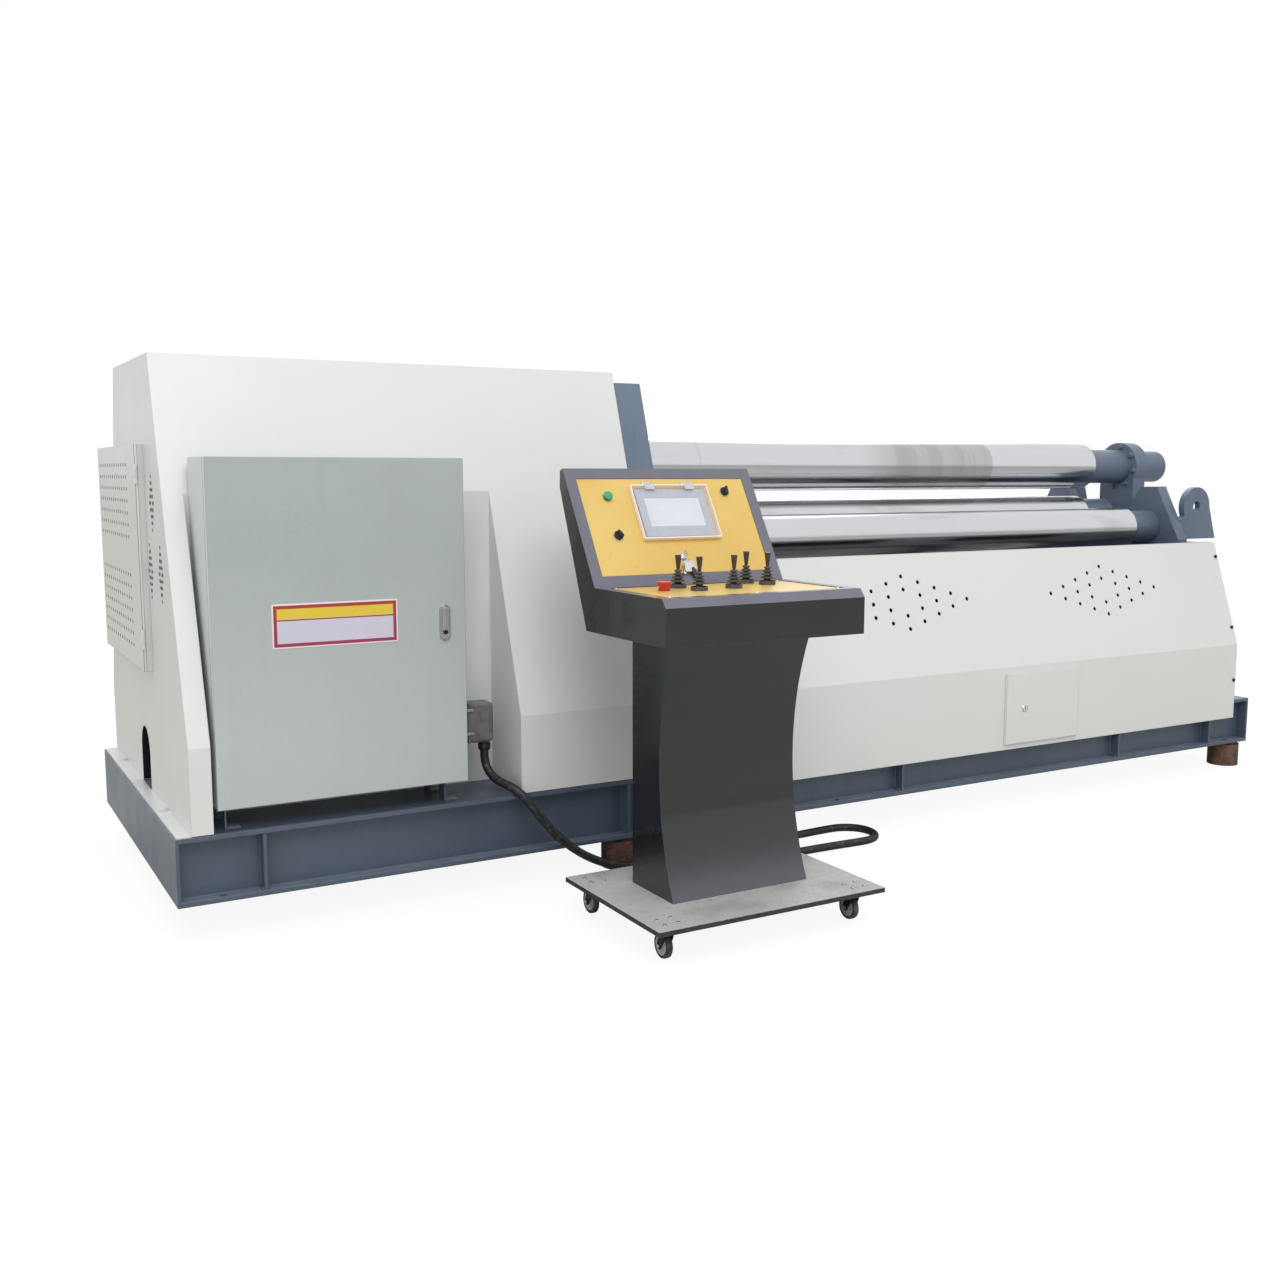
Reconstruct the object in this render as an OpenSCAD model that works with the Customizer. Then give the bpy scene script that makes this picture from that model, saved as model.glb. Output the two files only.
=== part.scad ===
// Four-roll hydraulic plate rolling machine with its control console on castors.
// Millimetres. +X runs along the rolls away from the drive, +Y to the back, +Z up.
// The machine's own frame starts at the base's front left corner on the floor;
// every sub-part is then shifted so that the origin is the bottom centre of the whole.

/* [Base] */
// Width of the base frame, front to back
base_w = 1400; // [1300:10:1700]
// Height of the base beams
beam_h = 200; // [160:5:260]
// Width of the beam flanges
flange_w = 100; // [80:2:130]
// Thickness of the beam flanges
flange_t = 14; // [10:1:18]
// Thickness of the beam webs
web_t = 8; // [6:1:14]
// Thickness of the plates that close the base's ends
end_t = 10; // [8:1:16]
// Height of the levelling feet
foot_h = 110; // [80:5:140]
// Diameter of the levelling feet
foot_d = 132; // [110:2:160]
// Diameter of the anchor bolt holes
anchor_d = 22; // [16:1:30]

/* [Housing] */
// Gap from the base's left end to the housing's left wall
wall_x = 45; // [35:1:60]
// Length of the drive housing
housing_l = 1555; // [1450:5:1850]
// Height of the housing above the floor
housing_z = 1684; // [1640:2:1900]
// Height above the floor where the sides start to slope
kink_z = 564; // [520:2:620]
// How far the housing's top edges stand back from its sides
slope_y = 370; // [320:5:420]
// Width of the roll frames' plates along the rolls
frame_t = 120; // [90:5:150]
// Set-back of the left roll frame inside the housing's outline
frame_inset = 25; // [15:1:40]

/* [Covers] */
// Thickness of the sheet covers
sheet_t = 3; // [2:0.5:5]
// Height above the floor of the covers' lower edge
cover_z0 = 229; // [200:1:260]
// Height above the floor of the covers' upper edge
cover_z1 = 1020; // [960:5:1060]
// Width of the lip along the covers' upper edge
lip_w = 35; // [20:1:60]
// Diameter of the ventilation holes
vent_d = 16; // [8:1:20]

/* [Rolls] */
// Height of the top roll's axis above the floor
top_z = 1365; // [1350:1:1400]
// Diameter of the top roll
top_d = 210; // [174:1:224]
// Diameter of the bottom roll
bottom_d = 190; // [160:2:200]
// Diameter of the side rolls
side_d = 176; // [150:1:190]
// Free gap between the top and bottom rolls as they stand
pinch_gap = 35; // [20:1:50]
// Distance of each side roll's axis from the middle, front to back
side_y = 270; // [262:1:300]
// Height of the side rolls' axes below the top roll's axis
side_drop = 280; // [270:1:310]
// Length of the rolls' bodies
roll_l = 2550; // [2200:1:3300]
// Diameter of the rolls' journals
journal_d = 90; // [60:2:100]
// Running clearance of journals and pins, on the radius
run_c = 0.1; // [0.05:0.05:0.3]
// Clearance between the bearing blocks and the frames they slide on
slide_c = 0.3; // [0.2:0.1:1]

/* [Drop end] */
// Diameter of the drop end's sleeve
sleeve_d = 160; // [150:2:170]
// Diameter of the drop end's flange
drop_flange_d = 230; // [210:2:260]
// Height of the drop end's pivot above the floor
pivot_z = 500; // [480:5:540]
// Diameter of the drop end's pivot pin
pivot_d = 50; // [40:2:60]

/* [Cabinet] */
// Width of the electric cabinet
cab_w = 762; // [620:1:860]
// Height of the electric cabinet
cab_h = 1000; // [900:5:1100]
// Depth of the electric cabinet with its door
cab_d = 229; // [200:1:230]
// Thickness of its door
cab_door_t = 25; // [20:1:35]
// Distance of the cabinet from the base's left end
cab_x = 121; // [115:1:180]
// Height of the cabinet above the base
cab_up = 68; // [40:1:90]

/* [Small doors] */
// Width of the access door in the front cover
hatch_w = 405; // [340:5:460]
// Height of the access door
hatch_h = 285; // [240:5:310]
// Depth of the pressed pan of the access door
hatch_t = 12; // [8:1:20]
// Distance of the access door from the base's right end
hatch_off = 1135; // [900:5:1300]
// Width of the perforated door on the left wall
grille_w = 800; // [700:5:820]
// Height of the perforated door
grille_h = 700; // [600:5:760]
// Depth of the vent box that it closes
grille_t = 23; // [20:1:36]

/* [Console] */
// Distance of the console's foot plate from the base's left end
con_x = 1083; // [1000:5:1400]
// Distance of the foot plate's back edge from the base's front
con_gap = 278; // [250:2:330]
// Width of the foot plate
plate_w = 780; // [740:5:860]
// Depth of the foot plate
plate_d = 562; // [540:2:640]
// Thickness of the foot plate
plate_t = 14; // [10:1:20]
// Diameter of the castor wheels
wheel_d = 75; // [60:1:90]
// Width of the console's column
col_w = 473; // [420:1:520]
// Width of the console's head
head_w = 674; // [640:2:720]
// Height of the desk above the floor
desk_z = 1000; // [900:1:1080]
// Height of the console's top above the desk
head_up = 347; // [330:1:380]

/* [Hidden] */
$fn = 96;

steel_grey = [0.38, 0.45, 0.53];
off_white = [0.88, 0.88, 0.87];
cabinet_grey = [0.69, 0.72, 0.71];
roll_steel = [0.75, 0.75, 0.76];
charcoal = [0.20, 0.20, 0.22];
yellow = [0.93, 0.79, 0.40];
black = [0.08, 0.08, 0.08];
rust = [0.45, 0.35, 0.31];
pale_steel = [0.78, 0.78, 0.77];

// Housing
mid_y = base_w / 2;
housing_x1 = wall_x + housing_l;
slope_run = slope_y / (housing_z - kink_z);
slot_w = 160;
slot_h = 200;
slot_depth = 60;
slot_y = mid_y + 25;
// Flange along the housing's foot, bolted to the base's end
foot_flange_t = 4;
// Plate that the cabinet's legs stand on, over the base's front beam
deck_t = 3;

// Frames
frame_x1 = housing_x1 + frame_t;
frame_top_drop = 34;
journal_in = 70;

// Rolls
body_gap = 60;
body_x0 = frame_x1 + body_gap;
body_x1 = body_x0 + roll_l;
// Room for the longer bearing blocks at the rolls' right ends
right_gap = 170;
right_x0 = body_x1 + right_gap;
right_t = 60;
right_x1 = right_x0 + right_t;
bottom_short = 20;
bottom_z = top_z - top_d / 2 - pinch_gap - bottom_d / 2;
side_z = top_z - side_drop;
block_gap = 12;
block_wall = 5;
block_r = 75;
bottom_block_r = 80;
neck_d = 140;

// Base
base_l = right_x1 + 160;
beam_z0 = foot_h;
beam_z1 = foot_h + beam_h;
// Depth of the beams' open sides, from flange edge to web
beam_recess = (flange_w - web_t) / 2;
// Places of the cross beams along the base
cross_x = [400, base_l * 0.31, base_l * 0.565, base_l * 0.82];
stiffener_t = 10;
anchor_in = 130;
anchor_y = beam_recess / 2;

// Right frame
right_top_z = top_z - 95;
right_y0 = mid_y - 450;
notch_r = 150;
notch_h = 110;
cheek_t = 30;
cheek_y = mid_y - 260;
cheek_x1 = base_l - 5;
cheek_step_z = top_z - 345;
ear_t = 30;
ear_y = mid_y - 410;
ear_r = 90;
ear_z = top_z - 187;
ear_x = right_x1 + 110;

// Drop end
sleeve_gap = 10;
sleeve_bore_d = 130;
sleeve_x0 = body_x1 + sleeve_gap;
drop_x0 = right_x1 + 40;
drop_t = 80;
pivot_x = right_x1 + 60;
pivot_boss_r = 50;
arm_w = 200;
cap_d = 150;
cap_l = 180;
// Tapered stub of the top roll inside the sleeve
stub_l = 150;
stub_r = 46;
stub_tip_r = 22;

// Covers
cover_x1 = base_l - 106;
cover_top_y = (cover_z1 - kink_z) * slope_run;
slope_angle = atan(1 / slope_run);
vent_pitch_x = 79;
vent_pitch_s = 26;
hatch_x1 = base_l - hatch_off;
hatch_x0 = hatch_x1 - hatch_w;
hatch_z0 = cover_z0 + 24;
hatch_rim = 12;
vent_z = kink_z + 274;
// Middles of the two vents, from the covers' right ends
vent_back = [784, 1884];

// Cabinet
cab_z0 = beam_z1 + cab_up;
cab_gap = 0.5;
cab_wall = 3;
// Recess in the housing, with room for the connector beside the cabinet
recess_x = cab_x - 14;
recess_l = cab_w + 198;
recess_d = cab_d + 6;
recess_z1 = kink_z + recess_d / slope_run;
connector_z0 = cab_z0 + 92;
connector_y = 110;
gland_x = cab_x + cab_w + 102;
gland_z = connector_z0 - 25;

// Vent box on the left wall, and the perforated door on it
grille_x0 = wall_x - grille_t;
grille_y0 = mid_y - 195;
grille_z0 = 720;
leaf_t = 4;
knuckle_r = 5;
// Vent holes in the housing's left wall: middles of three lattices, from the front
end_vents = [[293, 1035], [465, 1035], [398, 1243]];
end_vent_d = 13;
end_vent_pitch = 20;
end_vent_depth = 8;

// Console
con_y0 = -con_gap - plate_d;
con_mid_x = con_x + plate_w / 2;
plate_z1 = wheel_d + 35;
plate_z0 = plate_z1 - plate_t;
castor_in = 65;
col_y0 = con_y0 + 182;
col_y1 = col_y0 + 236;
col_curve = 80;
head_y0 = con_y0 + 59;
head_z0 = desk_z - 132;
lip_z = desk_z - 25;
desk_y0 = head_y0 + 21;
kink_y = desk_y0 + 384;
top_y = kink_y + 206;
head_z = desk_z + head_up;
back_low_y = head_y0 + 459;
back_top_y = top_y + 20;
head_x0 = con_mid_x - head_w / 2;
pocket_d = 5;
panel_t = 3;
border = 36;
panel_angle = atan2(head_z - desk_z, top_y - kink_y);
panel_l = norm([head_z - desk_z, top_y - kink_y]);
lid_gap = 0.5;

face_z = panel_t - pocket_d;
// Controls on the display face: green button, lower selector, upper selector
control_at = [[127, 304], [128, 170], [556, 318]];
key_at = [330, 92];
stem_d = 22;
// Places on the desk, from the head's left side and from the desk's front edge
stop_at = [136, 216];
stick_at = [[236, 186], [366, 202], [524, 256], [224, 284], [493, 325]];
stick_pivot = 6;
// Screen on the display face
screen_x = 208;
screen_y = 150;
screen_w = 280;
screen_h = 190;

// Middle of the console's cable: down from the connector's gland, over the base's
// front edge, along the floor in one long loop, and up to the gland behind the column
cable_r = 14;
column_gland_z = plate_z1 + 70;
column_gland_y = col_y1 + 37;
cable_route = [
  [gland_x, connector_y, gland_z], [gland_x, connector_y, gland_z - 27],
  [gland_x + 3, 103, gland_z - 54], [gland_x + 10, 86, gland_z - 77],
  [gland_x + 22, 59, beam_z1 + 41], [gland_x + 39, 24, beam_z1 + 32],
  [gland_x + 60, -12, beam_z1 + 19], [gland_x + 85, -36, beam_z1 - 12],
  [gland_x + 122, -44, beam_z1 - 65], [gland_x + 178, -43, beam_z1 - 138],
  [1271, -40, 82], [1403, -38, 25], [1549, -31, 15], [1697, -13, 15], [1846, 4, 15],
  [1995, 13, 15], [2144, 17, 15], [2260, 24, 15], [2332, 29, 15], [2380, 24, 15],
  [2412, 6, 15], [2435, -20, 15], [2446, -54, 15], [2444, -89, 15], [2430, -121, 15],
  [2406, -147, 15], [2370, -162, 15], [2317, -164, 15], [2234, -158, 15],
  [2104, -155, 15], [1955, -159, 15], [1805, -166, 15],
  [con_mid_x + 198, 101 - con_gap, 15], [con_mid_x + 112, 88 - con_gap, 25],
  [con_mid_x + 59, 72 - con_gap, 50], [con_mid_x + 25, 49 - con_gap, plate_z1 - 24],
  [con_mid_x + 4, 17 - con_gap, plate_z1 + 20],
  [con_mid_x, column_gland_y + 84, column_gland_z - 15],
  [con_mid_x, column_gland_y + 42, column_gland_z],
  [con_mid_x, column_gland_y, column_gland_z]];

// Bottom centre of everything, on the floor
all_x1 = drop_x0 + drop_t + cap_l;
org_x = all_x1 / 2;
org_y = (con_y0 + base_w + sheet_t) / 2;

// A box given by its two opposite corners
module box(a, b) {
  translate(a) cube(b - a);
}

// A cylinder along X
module bar_x(x0, x1, y, z, d) {
  translate([x0, y, z]) rotate([0, 90, 0]) cylinder(h = x1 - x0, d = d);
}

// A cylinder along Y
module bar_y(y0, y1, x, z, d) {
  translate([x, y1, z]) rotate([90, 0, 0]) cylinder(h = y1 - y0, d = d);
}

// An outline drawn in the YZ plane, run along X
module run_x(x0, x1, points) {
  translate([x0, 0, 0]) rotate([90, 0, 90])
    linear_extrude(x1 - x0) polygon(points);
}

// An outline drawn in the XZ plane, run along Y
module run_y(y0, y1) {
  translate([0, y1, 0]) rotate([90, 0, 0]) linear_extrude(y1 - y0) children();
}

// The back half as a mirror image of the front half
module to_back() {
  translate([0, base_w, 0]) mirror([0, 1, 0]) children();
}

// Puts a piece into the part's own frame
module placed() {
  translate([-org_x, -org_y, 0]) children();
}

// ---- Base ----

module long_beam() {
  x0 = end_t;
  x1 = base_l - end_t;
  difference() {
    union() {
      box([x0, 0, beam_z0], [x1, flange_w, beam_z0 + flange_t]);
      box([x0, 0, beam_z1 - flange_t], [x1, flange_w, beam_z1]);
      box([x0, beam_recess, beam_z0], [x1, beam_recess + web_t, beam_z1]);
      for (x = [250, cross_x[1], cross_x[2], cross_x[3], base_l - 257])
        box([x - stiffener_t / 2, 4, beam_z0 + flange_t / 2],
          [x + stiffener_t / 2, beam_recess + 1, beam_z1 - flange_t / 2]);
    }
    for (x = [anchor_in, base_l / 2, base_l - anchor_in])
      translate([x, anchor_y, beam_z0 - 1]) cylinder(h = flange_t + 2, d = anchor_d);
  }
}

module base_front_beam() { color(steel_grey) long_beam(); }
module base_rear_beam() { color(steel_grey) to_back() long_beam(); }

module base_end() {
  inner = 75;
  box([0, 0, beam_z0], [end_t, base_w, beam_z1]);
  for (z = [beam_z0, beam_z1 - flange_t])
    box([end_t - 1, flange_w, z], [inner, base_w - flange_w, z + flange_t]);
}

module base_left_end() { color(steel_grey) base_end(); }
module base_right_end() {
  color(steel_grey) translate([base_l, 0, 0]) mirror([1, 0, 0]) base_end();
}

module base_cross_beams() {
  color(steel_grey) for (x = cross_x) {
    for (z = [beam_z0, beam_z1 - flange_t])
      box([x - flange_w / 2, flange_w, z], [x + flange_w / 2, base_w - flange_w, z + flange_t]);
    box([x - web_t / 2, beam_recess + web_t, beam_z0 + flange_t],
      [x + web_t / 2, base_w - beam_recess - web_t, beam_z1 - flange_t]);
  }
}

module foot(x, y) {
  translate([x, y, 0]) {
    cylinder(h = foot_h - 12, d = foot_d);
    translate([0, 0, foot_h - 13]) cylinder(h = 13, d = foot_d * 0.8);
  }
}

module levelling_feet() {
  color(rust) {
    for (y = [mid_y - 280, mid_y + 280]) foot(cross_x[0], y);
    for (x = [cross_x[1], base_l - 70], y = [foot_d / 2, base_w - foot_d / 2]) foot(x, y);
  }
}

// ---- Housing and roll frames ----

function side_outline(inset, top) =
  let (back = base_w - inset, run = (top - kink_z) * slope_run)
  [[inset, beam_z1], [back, beam_z1], [back, kink_z], [back - run, top],
   [inset + run, top], [inset, kink_z]];

// A lattice of shallow vent holes turned on its corner, in the left wall
module end_vent(y, z) {
  for (i = [-2:2], j = [-2:2]) if (i != 0 || j != 0)
    translate([wall_x - 1, y + (i + j) * end_vent_pitch * 0.4, z + (i - j) * end_vent_pitch])
      rotate([0, 90, 0]) cylinder(h = end_vent_depth + 1, d = end_vent_d, $fn = 24);
}

module drive_housing() {
  color(off_white) difference() {
    union() {
      run_x(wall_x, housing_x1, side_outline(0, housing_z));
      box([4, 4, beam_z1], [wall_x + 1, base_w - 4, beam_z1 + foot_flange_t]);
    }
    for (v = end_vents) end_vent(v[0], v[1]);
    box([recess_x, -1, beam_z1 + deck_t], [recess_x + recess_l, recess_d, recess_z1 + 60]);
    translate([wall_x - 1, slot_y, 0]) rotate([90, 0, 90]) linear_extrude(slot_depth + 1) {
      translate([-slot_w / 2, beam_z1 - 1]) square([slot_w, slot_h - slot_w / 2 + 1]);
      translate([0, beam_z1 + slot_h - slot_w / 2]) circle(d = slot_w);
    }
  }
}

module left_roll_frame() {
  top = housing_z - frame_top_drop;
  color(steel_grey) difference() {
    run_x(housing_x1, frame_x1, side_outline(frame_inset, top));
    bar_x(frame_x1 - journal_in, frame_x1 + 1, mid_y, top_z, neck_d + 2 * run_c);
  }
}

module right_roll_frame() {
  half = [[right_y0, beam_z1], [right_y0, right_top_z - 240], [cheek_y - 60, right_top_z],
    [cheek_y + cheek_t, right_top_z], [mid_y - notch_r, right_top_z - notch_h]];
  outline = concat(half, [for (i = [4:-1:0]) [base_w - half[i][0], half[i][1]]]);
  color(steel_grey) run_x(right_x0, right_x1, outline);
}

// The two upright plates that the drop end tilts between
module drop_end_cheeks() {
  color(steel_grey) for (y = [cheek_y, base_w - cheek_y - cheek_t]) difference() {
    run_y(y, y + cheek_t) polygon([[right_x1, beam_z1], [cheek_x1, beam_z1],
      [cheek_x1, cheek_step_z], [cheek_x1 - 75, right_top_z], [right_x1, right_top_z]]);
    bar_y(y - 1, y + cheek_t + 1, pivot_x, pivot_z, pivot_d + 2 * run_c);
  }
}

module drop_end_pin() {
  color(roll_steel) bar_y(cheek_y, base_w - cheek_y, pivot_x, pivot_z, pivot_d);
}

// Eyes beside the drop end, welded to the right frame
module support_lugs() {
  color(steel_grey) for (y = [ear_y, base_w - ear_y - ear_t]) difference() {
    run_y(y, y + ear_t) {
      polygon([[right_x1, ear_z - 150], [ear_x + 140, ear_z - 150], [ear_x + ear_r, ear_z],
        [ear_x, ear_z + 10], [right_x1, ear_z - 60]]);
      translate([ear_x, ear_z]) circle(r = ear_r);
    }
    bar_y(y - 1, y + ear_t + 1, ear_x, ear_z, pivot_d);
  }
}

// ---- Sheet covers ----

module cover_shape(x0) {
  run_x(x0, cover_x1, [[-sheet_t, cover_z0], [0, cover_z0], [0, kink_z],
    [cover_top_y, cover_z1 - sheet_t], [cover_top_y + lip_w, cover_z1 - sheet_t],
    [cover_top_y + lip_w, cover_z1], [cover_top_y - sheet_t, cover_z1],
    [-sheet_t, kink_z]]);
}

// A lattice of holes turned on its corner, its middle left out
module vent_diamond(x, z) {
  y = (z - kink_z) * slope_run;
  translate([x, y, z]) rotate([slope_angle, 0, 0])
    for (i = [-2:2], j = [-2:2]) if (i != 0 || j != 0)
      translate([(i + j) * vent_pitch_x, (i - j) * vent_pitch_s, -sheet_t - 5])
        cylinder(h = sheet_t + 12, d = vent_d, $fn = 24);
}

// A cover with its vents, its lip left off beside the left roll frame
module vented_cover() {
  difference() {
    cover_shape(housing_x1);
    for (back = vent_back) vent_diamond(cover_x1 - back, vent_z);
    box([housing_x1 - 1, cover_top_y, cover_z1 - sheet_t - 1],
      [frame_x1 + 2, cover_top_y + lip_w + 1, cover_z1 + 1]);
  }
}

module front_cover() {
  color(off_white) difference() {
    vented_cover();
    box([hatch_x0 + hatch_rim, -sheet_t - 1, hatch_z0 + hatch_rim],
      [hatch_x1 - hatch_rim, 1, hatch_z0 + hatch_h - hatch_rim]);
  }
}

module rear_cover() { color(off_white) to_back() vented_cover(); }

module end_panels() {
  color(off_white) for (side = [0, 1])
    translate([0, side * base_w, 0]) mirror([0, side, 0])
      run_x(cover_x1 - sheet_t, cover_x1, [[0.5, beam_z1], [cheek_y - slide_c, beam_z1],
        [cheek_y - slide_c, cover_z1 - sheet_t], [cover_top_y + 0.5, cover_z1 - sheet_t],
        [0.5, kink_z]]);
}

// ---- Electric cabinet ----

module cabinet_box() {
  z1 = cab_z0 + cab_h;
  color(cabinet_grey) difference() {
    box([cab_x, cab_door_t + cab_gap, cab_z0], [cab_x + cab_w, cab_d, z1]);
    box([cab_x + cab_wall, cab_door_t, cab_z0 + cab_wall],
      [cab_x + cab_w - cab_wall, cab_d - cab_wall, z1 - cab_wall]);
  }
}

module cabinet_door() {
  z1 = cab_z0 + cab_h;
  lock_x = cab_x + cab_w - 68;
  lock_z = cab_z0 + 503;
  color(cabinet_grey) {
    difference() {
      box([cab_x, 0, cab_z0], [cab_x + cab_w, cab_door_t, z1]);
      box([cab_x + cab_wall, cab_wall, cab_z0 + cab_wall],
        [cab_x + cab_w - cab_wall, cab_door_t + 1, z1 - cab_wall]);
    }
  }
  color("silver") hull() for (dz = [-38, 38])
    bar_y(-6, 1, lock_x, lock_z + dz, 32);
}

module cabinet_legs() {
  leg = 45;
  color(steel_grey)
    for (x = [cab_x + 23, cab_x + cab_w - 23 - leg], y = [cab_door_t + 5, cab_d - 20 - leg]) {
      box([x, y, beam_z1 + deck_t], [x + leg, y + leg, beam_z1 + deck_t + 5]);
      box([x, y, beam_z1 + deck_t], [x + 5, y + leg, cab_z0]);
      box([x, y, cab_z0 - 5], [x + leg, y + leg, cab_z0]);
    }
}

module cable_connector() {
  x0 = cab_x + cab_w;
  z1 = connector_z0 + 130;
  color([0.55, 0.57, 0.58]) {
    box([x0, connector_y - 28, connector_z0 + 20], [x0 + 38, connector_y + 28, z1]);
    box([x0 + 36, connector_y - 32, connector_z0 + 6], [x0 + 125, connector_y + 32, z1 + 6]);
    for (z = [connector_z0 + 34, z1 - 20])
      box([x0 + 22, connector_y - 40, z], [x0 + 52, connector_y + 40, z + 9]);
    translate([gland_x, connector_y, gland_z])
      cylinder(h = connector_z0 - gland_z + 8, d = 40);
  }
}

// ---- Cable ----

// Points of one ring of the cable, square to the route
function ring(i, sides) =
  let (n = len(cable_route), a = cable_route[max(i - 1, 0)], b = cable_route[min(i + 1, n - 1)],
    t = (b - a) / norm(b - a), up = abs(t[2]) > 0.9 ? [0, 1, 0] : [0, 0, 1],
    u = cross(t, up) / norm(cross(t, up)), v = cross(t, u))
  [for (k = [0:sides - 1]) cable_route[i]
    + cable_r * (u * cos(360 * k / sides) + v * sin(360 * k / sides))];

module console_cable() {
  sides = 10;
  n = len(cable_route);
  points = [for (i = [0:n - 1]) each ring(i, sides)];
  walls = [for (i = [0:n - 2], k = [0:sides - 1])
    [i * sides + k, (i + 1) * sides + k, (i + 1) * sides + (k + 1) % sides,
     i * sides + (k + 1) % sides]];
  first = [for (k = [0:sides - 1]) k];
  last = [for (k = [sides - 1:-1:0]) (n - 1) * sides + k];
  color(black) polyhedron(points, concat(walls, [first, last]), convexity = 8);
}

// ---- Small doors ----

module access_door() {
  y1 = -sheet_t - lid_gap;
  color(off_white) {
    box([hatch_x0, y1 - hatch_t, hatch_z0], [hatch_x1, y1, hatch_z0 + hatch_h]);
  }
  color("silver")
    bar_y(y1 - hatch_t - 4, y1 - hatch_t + 1, hatch_x0 + 100, hatch_z0 + 140, 26);
}

module vent_box() {
  wall = 3;
  x0 = grille_x0 + leaf_t + 0.5;
  y1 = grille_y0 + grille_w;
  z1 = grille_z0 + grille_h;
  color(off_white) difference() {
    box([x0, grille_y0, grille_z0], [wall_x, y1, z1]);
    box([x0 - 1, grille_y0 + wall, grille_z0 + wall], [wall_x - wall, y1 - wall, z1 - wall]);
  }
}

module perforated_door() {
  color(off_white) {
    box([grille_x0, grille_y0, grille_z0],
      [grille_x0 + leaf_t, grille_y0 + grille_w, grille_z0 + grille_h]);
    for (z = [grille_z0 + 70, grille_z0 + grille_h - 120])
      translate([grille_x0 + 1, grille_y0 - knuckle_r + 1, z]) cylinder(h = 60, r = knuckle_r);
  }
}

// ---- Rolls ----

module top_roll() {
  color(roll_steel) {
    bar_x(frame_x1 - journal_in, body_x0 + 1, mid_y, top_z, neck_d);
    bar_x(body_x0, body_x1, mid_y, top_z, top_d);
    translate([body_x1 - 1, mid_y, top_z]) rotate([0, 90, 0])
      rotate_extrude() polygon([[0, 0], [stub_r, 0], [stub_r, 20], [stub_tip_r, stub_l],
        [0, stub_l]]);
  }
}

// A lower roll with a journal at each end, its right end given
module lower_roll(y, z, d, x1) {
  bar_x(body_x0, x1, y, z, d);
  bar_x(frame_x1 + slide_c + block_wall, right_x0 - slide_c - block_wall, y, z, journal_d);
}

// The bearing blocks at both ends of a lower roll
module bearing_blocks(y, z, r, x1) {
  color(steel_grey) for (side = [0, 1]) {
    x0 = side == 0 ? frame_x1 + slide_c : x1 + block_gap;
    xe = side == 0 ? body_x0 - block_gap : right_x0 - slide_c;
    difference() {
      translate([x0, y, z]) rotate([0, 90, 0]) cylinder(h = xe - x0, r = r);
      bar_x(side == 0 ? x0 + block_wall - 0.5 : x0 - 1,
        side == 0 ? xe + 1 : xe - block_wall + 0.5, y, z, journal_d + 2 * run_c);
    }
  }
}

module bottom_roll() { color(roll_steel) lower_roll(mid_y, bottom_z, bottom_d, body_x1 - bottom_short); }
module bottom_roll_bearings() {
  bearing_blocks(mid_y, bottom_z, bottom_block_r, body_x1 - bottom_short);
}
module front_side_roll() { color(roll_steel) lower_roll(mid_y - side_y, side_z, side_d, body_x1); }
module front_roll_bearings() { bearing_blocks(mid_y - side_y, side_z, block_r, body_x1); }
module rear_side_roll() { color(roll_steel) lower_roll(mid_y + side_y, side_z, side_d, body_x1); }
module rear_roll_bearings() { bearing_blocks(mid_y + side_y, side_z, block_r, body_x1); }

module drop_end() {
  x1 = drop_x0 + drop_t;
  color(steel_grey) difference() {
    union() {
      bar_x(sleeve_x0, drop_x0 + 1, mid_y, top_z, sleeve_d);
      bar_x(drop_x0, x1, mid_y, top_z, drop_flange_d);
      bar_x(x1 - 1, x1 + cap_l, mid_y, top_z, cap_d);
      box([drop_x0, mid_y - arm_w / 2, pivot_z], [x1, mid_y + arm_w / 2, top_z]);
      bar_y(mid_y - arm_w / 2, mid_y + arm_w / 2, pivot_x, pivot_z, 2 * pivot_boss_r);
    }
    bar_x(sleeve_x0 - 1, right_x1 + 45, mid_y, top_z, sleeve_bore_d);
    bar_y(mid_y - arm_w, mid_y + arm_w, pivot_x, pivot_z, pivot_d + 2 * run_c);
  }
}

// ---- Console ----

module console_plate() {
  color(pale_steel) box([con_x, con_y0, plate_z0], [con_x + plate_w, con_y0 + plate_d, plate_z1]);
}

module console_column() {
  x0 = con_mid_x - col_w / 2;
  chord = head_z0 - plate_z1;
  curve_r = chord * chord / (8 * col_curve) + col_curve / 2;
  color(charcoal) {
    difference() {
      box([x0, col_y0, plate_z1], [x0 + col_w, col_y1, head_z0]);
      bar_x(x0 - 1, x0 + col_w + 1, col_y0 + col_curve - curve_r, (plate_z1 + head_z0) / 2,
        2 * curve_r);
    }
    bar_y(col_y1 - 1, column_gland_y, con_mid_x, column_gland_z, 40);
  }
}

// Lays children on the sloping display face: x from its left, y up the slope
module on_display() {
  translate([head_x0, kink_y, desk_z]) rotate([panel_angle, 0, 0]) children();
}

// Lays children on the desk: x from the head's left side, y from its front edge
module on_desk() {
  translate([head_x0, desk_y0, desk_z]) children();
}

module console_head() {
  color(charcoal) difference() {
    run_x(head_x0, head_x0 + head_w, [[head_y0, head_z0], [back_low_y, head_z0],
      [back_top_y, head_z - 57], [back_top_y - 2, head_z - 7], [top_y, head_z],
      [kink_y, desk_z], [desk_y0, desk_z], [head_y0, lip_z]]);
    on_display() box([border, border, -pocket_d], [head_w - border, panel_l - border, 20]);
    on_desk() box([border, 28, -pocket_d], [head_w - border, kink_y - desk_y0 - 24, 20]);
    on_display() for (p = control_at)
      translate([p[0], p[1], -pocket_d - 12]) cylinder(h = 13, d = 26, $fn = 48);
  }
}

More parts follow.
